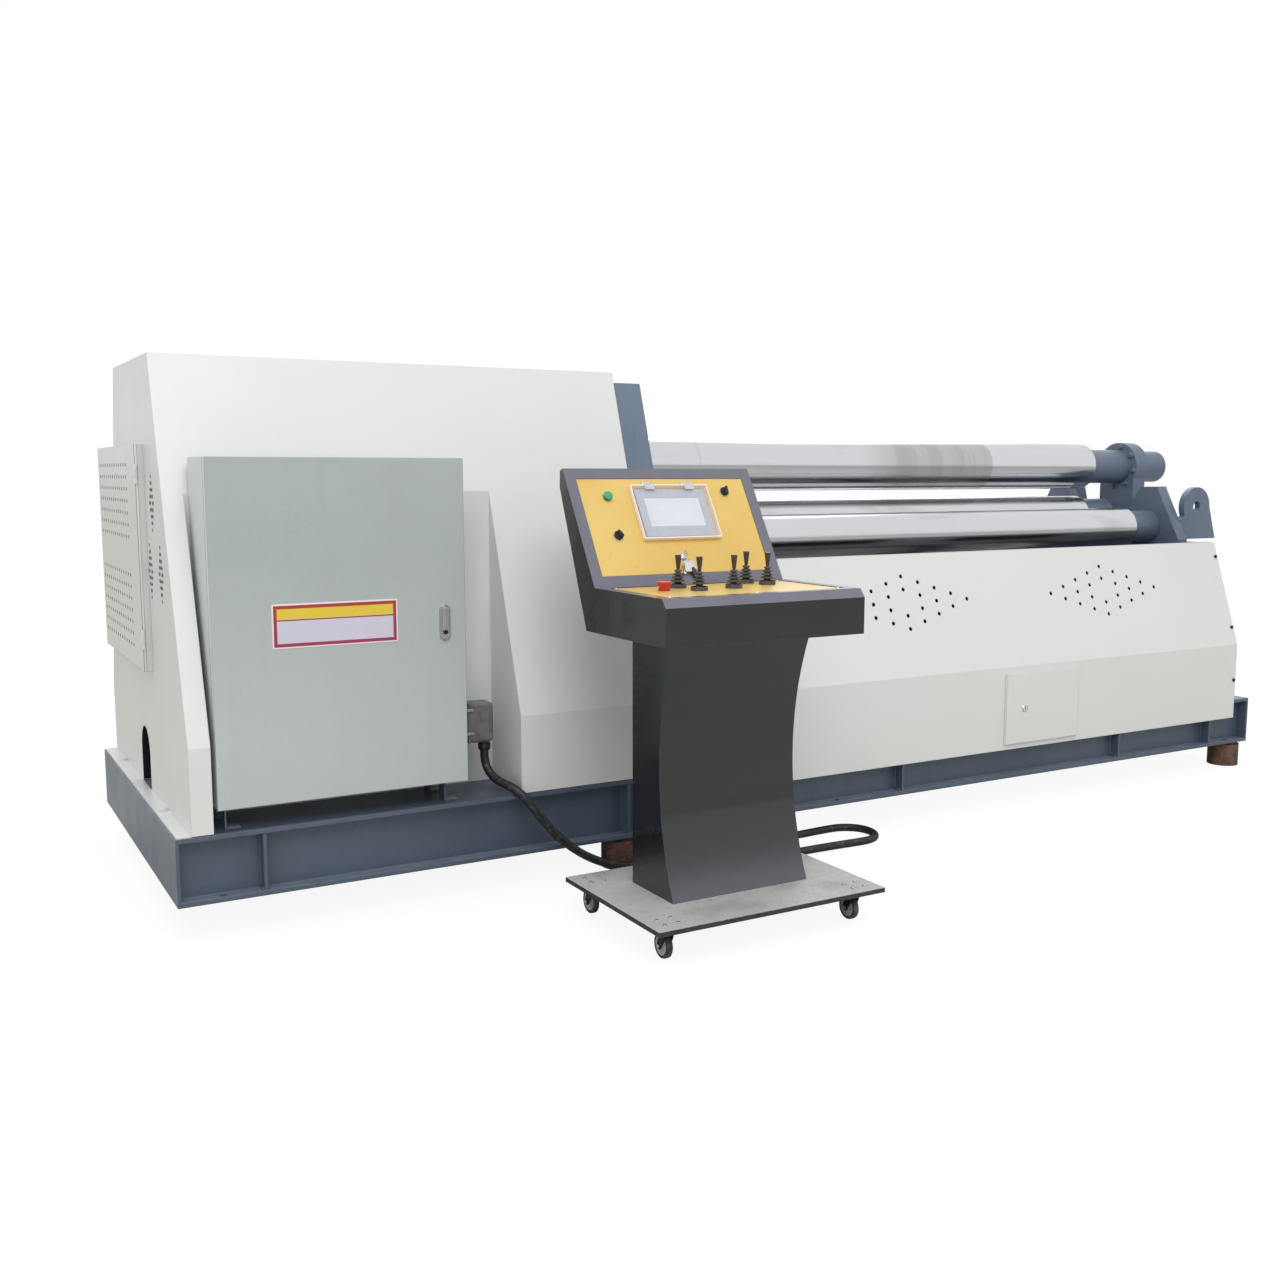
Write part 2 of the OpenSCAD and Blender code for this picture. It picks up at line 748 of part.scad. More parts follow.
module display_panel() {
  color(yellow) on_display() difference() {
    box([border, border, -pocket_d], [head_w - border, panel_l - border, panel_t - pocket_d]);
    for (p = control_at) translate([p[0], p[1], -pocket_d - 1])
      cylinder(h = panel_t + 2, d = stem_d + 2 * run_c, $fn = 48);
  }
}

module desk_panel() {
  color(yellow) on_desk() {
    box([border, 28, -pocket_d], [head_w - border, kink_y - desk_y0 - 24, face_z]);
    translate([stop_at[0], stop_at[1], face_z - 1]) difference() {
      cylinder(h = 9, d = 35);
      translate([0, 0, 1]) cylinder(h = 9, d = 31);
    }
  }
}

module touch_screen() {
  color([0.75, 0.77, 0.80]) on_display() {
    box([screen_x + 14, screen_y + 10, face_z], [screen_x + screen_w - 14, screen_y + screen_h - 14,
      face_z + 8]);
    for (x = [screen_x + 48, screen_x + screen_w - 88])
      box([x, screen_y + screen_h, face_z], [x + 40, screen_y + screen_h + 14, face_z + 6]);
  }
}

module screen_cover() {
  color([0.85, 0.88, 0.9, 0.4]) on_display() translate([0, 0, face_z]) {
    difference() {
      box([screen_x, screen_y, 0.5], [screen_x + screen_w, screen_y + screen_h - 1, 16]);
      box([screen_x + 4, screen_y + 4, 0], [screen_x + screen_w - 4, screen_y + screen_h - 5, 13]);
    }
    for (x = [screen_x + 52, screen_x + screen_w - 84])
      translate([x, screen_y + screen_h + 4, 11]) rotate([0, 90, 0]) cylinder(h = 32, r = 4.5);
    for (x = [screen_x + 52, screen_x + screen_w - 84])
      box([x, screen_y + screen_h - 2, 8], [x + 32, screen_y + screen_h + 3, 12]);
  }
}

module key_switch() {
  color("silver") on_display() translate([key_at[0], key_at[1], face_z]) {
    cylinder(h = 8, d = 24);
    translate([-1.5, -9, 7]) cube([3, 18, 28]);
  }
}

// The stem of a control, which turns or slides in the display panel's hole
module on_control(i) {
  on_display() translate([control_at[i][0], control_at[i][1], face_z]) {
    translate([0, 0, -panel_t - 2]) cylinder(h = panel_t + 4, d = stem_d, $fn = 48);
    children();
  }
}

module green_button() {
  color([0.1, 0.6, 0.35]) on_control(0) {
    cylinder(h = 9, d = stem_d);
    translate([0, 0, 7]) cylinder(h = 7, d = 28);
  }
}

module selector(i) {
  color(black) on_control(i) {
    translate([0, 0, 0.5]) cylinder(h = 7, d = 29);
    translate([-4, -13, 7]) cube([8, 26, 15]);
  }
}

module selector_left() { selector(1); }
module selector_right() { selector(2); }

module emergency_stop() {
  color([0.8, 0.1, 0.08]) on_desk() translate([stop_at[0], stop_at[1], face_z]) {
    translate([0, 0, 6]) cylinder(h = 12, d = 30);
    translate([0, 0, 15]) cylinder(h = 13, d1 = 33, d2 = 46);
  }
}

module joystick_bases() {
  color(black) on_desk() for (p = stick_at) translate([p[0], p[1], face_z]) difference() {
    cylinder(h = 12, d = 50);
    translate([0, 0, -1]) cylinder(h = 14, d = 44);
  }
}

// A joystick: a ball in its seat, stepped bellows, then a lever with a grip
module joystick(i) {
  p = stick_at[i];
  color(black) on_desk() translate([p[0], p[1], face_z + stick_pivot]) {
    sphere(d = 2 * (stick_pivot - slide_c), $fn = 32);
    for (k = [0:3]) translate([0, 0, 13 + 10 * k]) cylinder(h = 6, d = 32 - 4 * k);
    cylinder(h = 52, d = 8);
    translate([0, 0, 49]) cylinder(h = 38, d1 = 11, d2 = 19);
    translate([0, 0, 86]) cylinder(h = 6, d = 19);
  }
}

module joystick_a() { joystick(0); }
module joystick_b() { joystick(1); }
module joystick_c() { joystick(2); }
module joystick_d() { joystick(3); }
module joystick_e() { joystick(4); }

// ---- Castors ----

castor_trail = 22;
castor_top = 4;
fork_in = 13;

module castor(ix, iy) {
  x = con_x + (ix == 0 ? castor_in : plate_w - castor_in);
  y = con_y0 + (iy == 0 ? castor_in : plate_d - castor_in);
  r = wheel_d / 2;
  z1 = plate_z0 - slide_c;
  color(black) translate([x, y, 0]) {
    translate([0, 0, z1 - castor_top]) cylinder(h = castor_top, d = 62);
    translate([0, 0, z1 - castor_top - 8]) cylinder(h = 9, d = 44);
    for (s = [-1, 1]) hull() {
      translate([s * (fork_in + 2) - 2, 0, z1 - castor_top - 8]) rotate([0, 90, 0])
        cylinder(h = 4, r = 6, $fn = 32);
      translate([s * (fork_in + 2) - 2, castor_trail, r]) rotate([0, 90, 0])
        cylinder(h = 4, r = 11, $fn = 32);
    }
    bar_x(-fork_in - 5, fork_in + 5, castor_trail, r, 8);
  }
}

module castor_wheel(ix, iy) {
  x = con_x + (ix == 0 ? castor_in : plate_w - castor_in);
  y = con_y0 + (iy == 0 ? castor_in : plate_d - castor_in) + castor_trail;
  color([0.3, 0.3, 0.3]) difference() {
    bar_x(x - 10, x + 10, y, wheel_d / 2, wheel_d);
    bar_x(x - 11, x + 11, y, wheel_d / 2, 8 + 2 * run_c);
  }
}

module castor_front_left() { castor(0, 0); }
module castor_front_right() { castor(1, 0); }
module castor_rear_left() { castor(0, 1); }
module castor_rear_right() { castor(1, 1); }
module wheel_front_left() { castor_wheel(0, 0); }
module wheel_front_right() { castor_wheel(1, 0); }
module wheel_rear_left() { castor_wheel(0, 1); }
module wheel_rear_right() { castor_wheel(1, 1); }

placed() base_front_beam();
placed() base_rear_beam();
placed() base_left_end();
placed() base_right_end();
placed() base_cross_beams();
placed() levelling_feet();
placed() drive_housing();
placed() left_roll_frame();
placed() right_roll_frame();
placed() drop_end_cheeks();
placed() drop_end_pin();
placed() support_lugs();
placed() front_cover();
placed() rear_cover();
placed() end_panels();
placed() cabinet_box();
placed() cabinet_door();
placed() cabinet_legs();
placed() cable_connector();
placed() console_cable();
placed() access_door();
placed() vent_box();
placed() perforated_door();
placed() top_roll();
placed() bottom_roll();
placed() bottom_roll_bearings();
placed() front_side_roll();
placed() front_roll_bearings();
placed() rear_side_roll();
placed() rear_roll_bearings();
placed() drop_end();
placed() console_plate();
placed() console_column();
placed() console_head();
placed() display_panel();
placed() desk_panel();
placed() touch_screen();
placed() screen_cover();
placed() key_switch();
placed() green_button();
placed() selector_left();
placed() selector_right();
placed() emergency_stop();
placed() joystick_bases();
placed() joystick_a();
placed() joystick_b();
placed() joystick_c();
placed() joystick_d();
placed() joystick_e();
placed() castor_front_left();
placed() castor_front_right();
placed() castor_rear_left();
placed() castor_rear_right();
placed() wheel_front_left();
placed() wheel_front_right();
placed() wheel_rear_left();
placed() wheel_rear_right();
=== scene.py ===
import bmesh
import bpy
import numpy as np
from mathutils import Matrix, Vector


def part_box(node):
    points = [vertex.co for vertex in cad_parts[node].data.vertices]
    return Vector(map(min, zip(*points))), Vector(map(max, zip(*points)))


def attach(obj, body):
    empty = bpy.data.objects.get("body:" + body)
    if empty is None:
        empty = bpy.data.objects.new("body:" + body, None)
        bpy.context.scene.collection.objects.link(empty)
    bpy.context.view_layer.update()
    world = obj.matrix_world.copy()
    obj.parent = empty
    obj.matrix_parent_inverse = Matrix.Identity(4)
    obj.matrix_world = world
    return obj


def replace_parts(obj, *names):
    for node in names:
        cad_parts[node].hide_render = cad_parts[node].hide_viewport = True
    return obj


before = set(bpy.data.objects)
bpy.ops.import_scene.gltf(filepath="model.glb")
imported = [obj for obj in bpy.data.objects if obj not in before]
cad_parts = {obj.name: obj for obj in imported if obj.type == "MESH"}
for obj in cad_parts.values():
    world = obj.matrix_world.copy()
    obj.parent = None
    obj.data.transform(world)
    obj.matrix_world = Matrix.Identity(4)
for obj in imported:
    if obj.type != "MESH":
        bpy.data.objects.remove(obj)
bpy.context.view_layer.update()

# The machine is drawn in its own frame, from the base's front left corner on the
# floor: X along the rolls, Y to the back. All numbers below are metres in it.
corner = np.array(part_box("base_left_end")[0]) * (1, 1, 0)

# ---- Camera ----
# At eye height off the machine's front left corner, turned along the rolls and
# tipped a little down, with a slightly wide lens.


def placed(name, data):
    """A new object in the scene."""
    made = bpy.data.objects.new(name, data)
    bpy.context.scene.collection.objects.link(made)
    return made


view = bpy.data.cameras.new("view")
view.lens = 36.58
view.sensor_width = 36.0
camera = placed("view", view)
camera.location = corner + (-0.627, -3.729, 1.332)
camera.rotation_euler = np.radians((82.7, 0.0, -29.736))
bpy.context.scene.camera = camera
bpy.context.scene.view_settings.view_transform = "Standard"

# ---- Console cable ----
# A round multicore cable in black rubber: out of the connector's gland, over the
# base's edge, one loop along the floor and up to the gland behind the column. The points
# of its route are in millimetres.
cable_r = 0.014
cable_route = np.array([
    (985, 110, 445), (985, 110, 418), (988, 103, 391), (995, 86, 368), (1007, 59, 351),
    (1024, 24, 342), (1045, -12, 329), (1070, -36, 298), (1107, -44, 245), (1163, -43, 172),
    (1271, -40, 82), (1403, -38, 25), (1549, -31, 15), (1697, -13, 15), (1846, 4, 15),
    (1995, 13, 15), (2144, 17, 15), (2260, 24, 15), (2332, 29, 15), (2380, 24, 15),
    (2412, 6, 15), (2435, -20, 15), (2446, -54, 15), (2444, -89, 15), (2430, -121, 15),
    (2406, -147, 15), (2370, -162, 15), (2317, -164, 15), (2234, -158, 15), (2104, -155, 15),
    (1955, -159, 15), (1805, -166, 15), (1671, -177, 15), (1585, -190, 25), (1532, -206, 50),
    (1498, -229, 86), (1477, -261, 130), (1473, -301, 165), (1473, -343, 180),
    (1473, -385, 180)]) / 1000


def through(route, steps):
    """Cubic B-spline: between two points, the sum of the four nearest points times the
    weights (1-t)^3, 3t^3-6t^2+4, -3t^3+3t^2+3t+1 and t^3, over 6, at even steps of t."""
    padded = np.vstack([2 * route[0] - route[1], route, 2 * route[-1] - route[-2]])
    t = np.linspace(0, 1, steps, endpoint=False)[:, None]
    weights = np.concatenate([
        (1 - t) ** 3, 3 * t ** 3 - 6 * t ** 2 + 4,
        -3 * t ** 3 + 3 * t ** 2 + 3 * t + 1, t ** 3], axis=1) / 6
    spans = np.stack([padded[k:len(padded) - 3 + k] for k in range(4)], axis=1)
    return np.vstack([np.einsum("sk,nkd->nsd", weights, spans).reshape(-1, 3), route[-1]])


def tone(red, green, blue):
    """Linear RGBA of a colour given in display values, 0 to 255."""
    c = np.array([red, green, blue]) / 255
    c = np.where(c <= 0.04045, c / 12.92, ((c + 0.055) / 1.055) ** 2.4)
    return (*c.tolist(), 1.0)


def wire(tree, kind, settings=None, feeds=None):
    """One shader node: its own settings, and what feeds its sockets, values or sockets."""
    made = tree.nodes.new("ShaderNode" + kind)
    for key, value in (settings or {}).items():
        setattr(made, key, value)
    for key, value in (feeds or {}).items():
        if isinstance(value, bpy.types.NodeSocket):
            tree.links.new(value, made.inputs[key])
        else:
            made.inputs[key].default_value = value
    return made


def ramp(tree, value, low, high, start=0.0, stop=1.0):
    """value's way from low to high, as a smooth step from start to stop."""
    return wire(tree, "MapRange", {"interpolation_type": "SMOOTHSTEP"}, {
        "Value": value, "From Min": low, "From Max": high,
        "To Min": start, "To Max": stop}).outputs["Result"]


def mixed(tree, factor, a, b):
    """Colour a turning into colour b by factor."""
    return wire(tree, "Mix", {"data_type": "RGBA"}, {0: factor, 6: a, 7: b}).outputs[2]


def grain(tree, scale, detail=3.0, stretch=None):
    """Noise laid on the piece's own coordinates, each axis scaled by stretch."""
    where = wire(tree, "TexCoord").outputs["Object"]
    if stretch:
        where = wire(tree, "Mapping", None, {"Vector": where, "Scale": stretch}).outputs[0]
    return wire(tree, "TexNoise", None, {
        "Vector": where, "Scale": scale, "Detail": detail}).outputs["Fac"]


def surface(name, **sockets):
    """A new material with its tree and Principled shader, plain sockets set."""
    made = bpy.data.materials.new(name)
    made.use_nodes = True
    shader = made.node_tree.nodes["Principled BSDF"]
    for key, value in sockets.items():
        shader.inputs[key.replace("_", " ")].default_value = value
    return made, made.node_tree, shader


def feed(tree, shader, colour=None, roughness=None, height=None, depth=0.001, normal=None):
    """Links what varies over the surface into the shader, height through a Bump node."""
    if colour is not None:
        tree.links.new(colour, shader.inputs["Base Color"])
    if roughness is not None:
        tree.links.new(roughness, shader.inputs["Roughness"])
    if height is not None:
        bump = {"Height": height, "Distance": depth}
        if normal is not None:
            bump["Normal"] = normal
        normal = wire(tree, "Bump", None, bump).outputs["Normal"]
    if normal is not None:
        tree.links.new(normal, shader.inputs["Normal"])


def mottled(name, first, second, spots, span=None, rough=None, rough_by=None, skin=None,
            depth=0.0004, **sockets):
    """A material whose colour turns from first to second by the noise spots, sharpened to
    span. Its roughness is a ramp, rough, of that noise or of rough_by, and its height is
    the noise skin, or spots where skin is True."""
    made, tree, shader = surface(name, **sockets)
    amount = grain(tree, *spots)
    if span:
        amount = ramp(tree, amount, *span)
    feed(tree, shader, colour=mixed(tree, amount, first, second),
         roughness=rough and ramp(tree, grain(tree, *rough_by) if rough_by else amount, *rough),
         height=amount if skin is True else skin and grain(tree, *skin), depth=depth)
    return made


cable_rubber = mottled("cable_rubber", tone(26, 27, 29), tone(72, 70, 68), (60, 5.0), (0.5, 0.75),
                       (0.3, 0.7, 0.42, 0.62), (22,), (240, 2.0), 0.0006, IOR=1.5)

cable_line = corner + through(cable_route, 6)
spline_data = bpy.data.curves.new("cable", "CURVE")
spline_data.dimensions = "3D"
spline_data.bevel_depth = cable_r
spline_data.bevel_resolution = 4
spline_data.use_fill_caps = True
spline = spline_data.splines.new("POLY")
spline.points.add(len(cable_line) - 1)
spline.points.foreach_set("co", np.hstack([cable_line, np.ones((len(cable_line), 1))]).ravel())
spline.use_smooth = True
cable = placed("cable", spline_data)
cable.data.materials.append(cable_rubber)
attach(cable, "machine")
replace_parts(cable, "console_cable")

# ---- Studio ----
# A pale floor out to the horizon under an even white sky, with one large soft lamp
# in front and a weaker one behind.
sky = bpy.data.worlds.new("sky")
bpy.context.scene.world = sky
sky.use_nodes = True
tree = sky.node_tree


def maths(tree, operation, a, b=0.0):
    """One step of arithmetic on two values or sockets."""
    return wire(tree, "Math", {"operation": operation}, {0: a, 1: b}).outputs[0]


def times(tree, a, b):
    """The product of two values or sockets."""
    return maths(tree, "MULTIPLY", a, b)


path = wire(tree, "LightPath").outputs
seen = maths(tree, "MAXIMUM", path["Is Camera Ray"],
             maths(tree, "MAXIMUM", path["Is Glossy Ray"], path["Is Transmission Ray"]))
up = wire(tree, "SeparateXYZ", None, {
    0: wire(tree, "TexCoord").outputs["Generated"]}).outputs["Z"]
sky_light = 0.82
strength = maths(tree, "MAXIMUM", seen, ramp(tree, up, -0.1, 0.7, 0.5, sky_light))
shade = tree.nodes["Background"]
shade.inputs["Color"].default_value = (1, 1, 1, 1)
tree.links.new(strength, shade.inputs["Strength"])

floor_mesh = bpy.data.meshes.new("floor")
reach = 400.0
floor_mesh.from_pydata([(-reach, -reach, 0), (reach, -reach, 0), (reach, reach, 0),
                        (-reach, reach, 0)], [], [(0, 1, 2, 3)])
floor = placed("floor", floor_mesh)
floor_finish, tree, shader = surface("floor_finish", Roughness=0.9, Specular_IOR_Level=0.1)
shader.inputs["Base Color"].default_value = (0.62, 0.605, 0.58, 1)
glow = wire(tree, "Emission", None, {"Color": (1, 1, 1, 1), "Strength": 1.14})
lift = wire(tree, "MixShader", None, {
    0: times(tree, wire(tree, "LightPath").outputs["Is Camera Ray"], 0.8),
    1: shader.outputs[0], 2: glow.outputs[0]})
tree.links.new(lift.outputs[0], tree.nodes["Material Output"].inputs["Surface"])
floor_mesh.materials.append(floor_finish)


def softbox(name, place, aim, size, watts):
    """A square area lamp of that size, from place towards aim."""
    data = bpy.data.lights.new(name, "AREA")
    data.size = size
    data.energy = watts
    lamp = placed(name, data)
    away = np.array(place) - np.array(aim)
    flat = np.hypot(away[0], away[1])
    lamp.location = corner + place
    lamp.rotation_euler = (np.arctan2(flat, away[2]), 0, np.arctan2(away[1], away[0]) + np.pi / 2)


softbox("key", (-0.4, -5.2, 7.0), (2.2, 0.4, 0.8), 5.5, 295.0)
softbox("back", (6.5, 6.0, 5.5), (2.5, 0.8, 0.8), 5.0, 160.0)

# ---- Base frame ----
# Rolled channel beams and end plates, welded, sprayed with a blue-grey enamel. Their
# edges are rubbed to primer, and dust has settled on their flats.


def group(name, takes, gives):
    """An empty node group with its inputs (name, kind, value) and outputs (name, kind)."""
    made = bpy.data.node_groups.new(name, "ShaderNodeTree")
    for label, kind, value in takes:
        made.interface.new_socket(
            name=label, in_out="INPUT", socket_type="NodeSocket" + kind).default_value = value
    for label, kind in gives:
        made.interface.new_socket(name=label, in_out="OUTPUT", socket_type="NodeSocket" + kind)
    return made, made.nodes.new("NodeGroupInput").outputs, made.nodes.new("NodeGroupOutput").inputs


def put_out(tree, gives, **values):
    """Links sockets to the group's outputs of the same names."""
    for key, value in values.items():
        tree.links.new(value, gives[key])


# Sprayed paint: cloudy tint over metres, faint runs down the sheet, specks of dirt,
# and the orange peel of the spray as height.
sprayed, takes, gives = group("sprayed_paint", [
    ("Paint", "Color", (0.8, 0.8, 0.8, 1)), ("Tint", "Color", (0.7, 0.7, 0.7, 1)),
    ("Dirt", "Color", (0.2, 0.18, 0.15, 1)), ("Dirt Amount", "Float", 0.3),
    ("Gloss", "Float", 0.35)], [
    ("Color", "Color"), ("Roughness", "Float"), ("Height", "Float")])
cloud = ramp(sprayed, grain(sprayed, 1.6, 4.0), 0.35, 0.7)
runs = ramp(sprayed, grain(sprayed, 14, 4.0, (1, 1, 0.08)), 0.52, 0.78)
specks = ramp(sprayed, grain(sprayed, 75, 2.0), 0.7, 0.78)
dirty = times(sprayed, takes["Dirt Amount"],
              maths(sprayed, "ADD", times(sprayed, runs, 0.45), specks))
clean = mixed(sprayed, cloud, takes["Paint"], takes["Tint"])
dull = maths(sprayed, "ADD", times(sprayed, dirty, 0.5),
             ramp(sprayed, grain(sprayed, 5, 3.0), 0.3, 0.7, 0.0, 0.08))
put_out(sprayed, gives, Color=mixed(sprayed, dirty, clean, takes["Dirt"]),
        Roughness=maths(sprayed, "ADD", takes["Gloss"], dull),
        Height=maths(sprayed, "ADD", grain(sprayed, 420, 1.0),
                     times(sprayed, grain(sprayed, 9, 2.0), 1.2)))

# Worn edge: a Bevel node's rounded normal, and where it parts from the flat normal a
# mask broken up by noise.
worn, takes, gives = group("worn_edge", [("Radius", "Float", 0.003), ("Wear", "Float", 0.5)],
                           [("Mask", "Float"), ("Normal", "Vector")])
rounded = wire(worn, "Bevel", {"samples": 6}, {"Radius": takes["Radius"]}).outputs["Normal"]
flat = wire(worn, "NewGeometry").outputs["Normal"]
turn = wire(worn, "VectorMath", {"operation": "DOT_PRODUCT"},
            {0: rounded, 1: flat}).outputs["Value"]
broken = times(worn, ramp(worn, turn, 0.99, 0.86), ramp(worn, grain(worn, 30, 4.0), 0.42, 0.62))
put_out(worn, gives, Mask=times(worn, takes["Wear"], broken), Normal=rounded)


def use(tree, made, **feeds):
    """One node of a group, with its inputs; gives its outputs."""
    return wire(tree, "Group", {"node_tree": made}, {
        key.replace("_", " "): value for key, value in feeds.items()}).outputs


def reading(tree, kind, axis):
    """One axis of the surface's place in its piece (kind Object, in metres), or of the way
    that it faces (kind Normal, -1 to 1)."""
    return wire(tree, "SeparateXYZ", None, {
        0: wire(tree, "TexCoord").outputs[kind]}).outputs[axis]


def painted(name, paint, tint, dirt, under, grime=0.3, gloss=0.35, wear=0.5, radius=0.003,
            dust=None, peel=0.0004):
    """Sprayed sheet or plate: paint, worn to under along its edges, dust on its flats."""
    made, tree, shader = surface(name, Coat_Weight=0.15, Coat_Roughness=0.2)
    skin = use(tree, sprayed, Paint=paint, Tint=tint, Dirt=dirt, Dirt_Amount=grime, Gloss=gloss)
    edge = use(tree, worn, Radius=radius, Wear=wear)
    colour = skin["Color"]
    if dust:
        lying = times(tree, ramp(tree, reading(tree, "Normal", "Z"), 0.75, 0.98),
                      ramp(tree, grain(tree, 11, 5.0), 0.25, 0.6, 0.55, 1.0))
        colour = mixed(tree, lying, colour, dust)
    feed(tree, shader, colour=mixed(tree, edge["Mask"], colour, under),
         roughness=skin["Roughness"], height=skin["Height"], depth=peel, normal=edge["Normal"])
    return made


def cover_with(material, *nodes):
    """Gives CAD nodes a material in their own slots."""
    for node in nodes:
        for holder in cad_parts[node].material_slots:
            holder.material = material


enamel = painted("blue_grey_enamel", tone(86, 99, 117), tone(76, 88, 105), tone(58, 52, 48),
                 tone(128, 122, 116), grime=0.35, gloss=0.34, wear=0.7, radius=0.004,
                 dust=tone(116, 128, 143), peel=0.0006)
cover_with(enamel, "base_front_beam", "base_rear_beam", "base_left_end", "base_right_end",
           "base_cross_beams")


def quads(rows, columns, wrap):
    """Faces of a grid of points: each joins a point, its neighbour in the row and the two
    in the next row; wrap joins the last column to the first."""
    i = np.arange(rows - 1)[:, None]
    j = np.arange(columns if wrap else columns - 1)[None, :]
    k = (j + 1) % columns
    return np.stack([i * columns + j, i * columns + k, (i + 1) * columns + k,
                     (i + 1) * columns + j], axis=-1).reshape(-1, 4)


def piece(name, parts, material, body, crease=35.0):
    """One mesh from (points, faces) pairs: joined, doubles merged, faces turned outwards,
    smooth up to crease degrees, riding on its body."""
    starts = np.cumsum([0] + [len(points) for points, _ in parts])
    mesh = bpy.data.meshes.new(name)
    mesh.from_pydata((np.concatenate([points for points, _ in parts]) + corner).tolist(), [],
                     np.concatenate([f + n for (_, f), n in zip(parts, starts)]).tolist())
    work = bmesh.new()
    work.from_mesh(mesh)
    bmesh.ops.remove_doubles(work, verts=work.verts, dist=2e-5)
    bmesh.ops.dissolve_degenerate(work, dist=1e-6, edges=work.edges)
    bmesh.ops.recalc_face_normals(work, faces=work.faces)
    work.to_mesh(mesh)
    work.free()
    mesh.shade_smooth()
    mesh.set_sharp_from_angle(angle=np.radians(crease))
    mesh.materials.append(material)
    made = placed(name, mesh)
    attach(made, body)
    return made


def weld(start, stop, radius, face):
    """A fillet weld: a ridge whose height runs as small waves along its length, from
    start to stop, its back towards face."""
    start, stop, face = (np.array(v, float) for v in (start, stop, face))
    length = np.linalg.norm(stop - start)
    steps = max(int(length / 0.006), 8)
    t = np.linspace(0, 1, steps)
    line = (stop - start) / length
    out = face / np.linalg.norm(face)
    side = np.cross(line, out)
    bulge = radius * (1 + 0.16 * np.abs(np.sin(t * length / 0.012 * np.pi)))
    bulge[[0, -1]] = 0
    a = np.linspace(0, 2 * np.pi, 8, endpoint=False)
    ring = np.outer(np.cos(a), out) + np.outer(np.sin(a), side)
    points = start + t[:, None, None] * (stop - start) + bulge[:, None, None] * ring
    return points.reshape(-1, 3), quads(steps, len(a), True)


def ends(node):
    """Lowest and highest corner of a CAD node, in the machine's own frame."""
    return np.array(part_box(node)) - corner


base_x0, base_y0, base_z0 = ends("base_left_end")[0]
base_y1, base_z1 = ends("base_right_end")[1][1:]
weld_r = 0.004
beam_w, stiffener_t, stiffener_y = 0.101, 0.006, 0.0455
stiffener_x = (0.25, 1.463, 2.667, 3.87, 4.463)
beads = [weld((base_x0 + 0.01, y, z), (base_x0 + 0.085, y, z), weld_r, (0, 0, 1))
         for y in (beam_w, base_y1 - beam_w) for z in (base_z0 + 0.014, base_z1 - 0.0005)]
for middle_x in stiffener_x:
    sides = [middle_x + s * stiffener_t for s in (-1, 1)]
    beads += [weld((x, 0.006, base_z0 + 0.015), (x, 0.044, base_z0 + 0.015), weld_r, (0, 0, 1))
              for x in sides]
    beads += [weld((x, stiffener_y, base_z0 + 0.016), (x, stiffener_y, base_z1 - 0.016), weld_r,
                   (0, -1, 0)) for x in sides]
piece("base_welds", beads, enamel, "machine")

# ---- Levelling feet ----
# Six round steel blocks under the beams, turned from bar and left bare. They have rusted
# brown, with dark pits.


def soft_edge(tree, radius):
    """The normal of a surface whose edges are rounded to that radius."""
    return use(tree, worn, Radius=radius, Wear=0.0)["Normal"]


rust, tree, shader = surface("foot_rust", Metallic=0.0)
patches = grain(tree, 16, 6.0)
crust = mixed(tree, ramp(tree, patches, 0.35, 0.65), tone(74, 56, 48), tone(118, 88, 72))
pits = ramp(tree, grain(tree, 90, 4.0), 0.55, 0.7)
feed(tree, shader, colour=mixed(tree, pits, crust, tone(56, 44, 42)),
     roughness=ramp(tree, patches, 0.3, 0.7, 0.65, 0.9),
     height=grain(tree, 130, 5.0), depth=0.003,
     normal=soft_edge(tree, 0.004))
cover_with(rust, "levelling_feet")

# ---- Drive housing ----
# Folded and welded sheet over the gearbox, sprayed a slightly warm white. Its left wall
# has an arched cable slot and three lattices of vent holes, whose insides are painted
# near black as shade, and a flange along its foot with two bolts under the paint. The
# cabinet stands on a blue-grey deck.
white_paint = dict(paint=tone(227, 229, 227), tint=tone(225, 226, 224), dirt=tone(196, 192, 182),
                   under=tone(200, 198, 194), grime=0.03, gloss=0.32, wear=0.2, radius=0.004,
                   peel=0.00006)
housing_white = painted("housing_white", **white_paint)
cover_with(housing_white, "front_cover", "rear_cover", "end_panels")


def overpaint(made, mask, colour):
    """Lays a colour over a material's own where mask, a socket of its tree, is 1."""
    base = made.node_tree.nodes["Principled BSDF"].inputs["Base Color"]
    made.node_tree.links.new(
        mixed(made.node_tree, mask, base.links[0].from_socket, colour), base)


def off(tree, value, place):
    """How far a value is from a place, to either side."""
    return maths(tree, "ABSOLUTE", maths(tree, "SUBTRACT", value, place))


def counted_from(tree, point):
    """X, Y and Z of the surface's place in its piece, counted from a point."""
    return wire(tree, "SeparateXYZ", None, {0: wire(tree, "VectorMath", {
        "operation": "SUBTRACT"}, {0: wire(tree, "TexCoord").outputs["Object"],
                                   1: point}).outputs[0]}).outputs


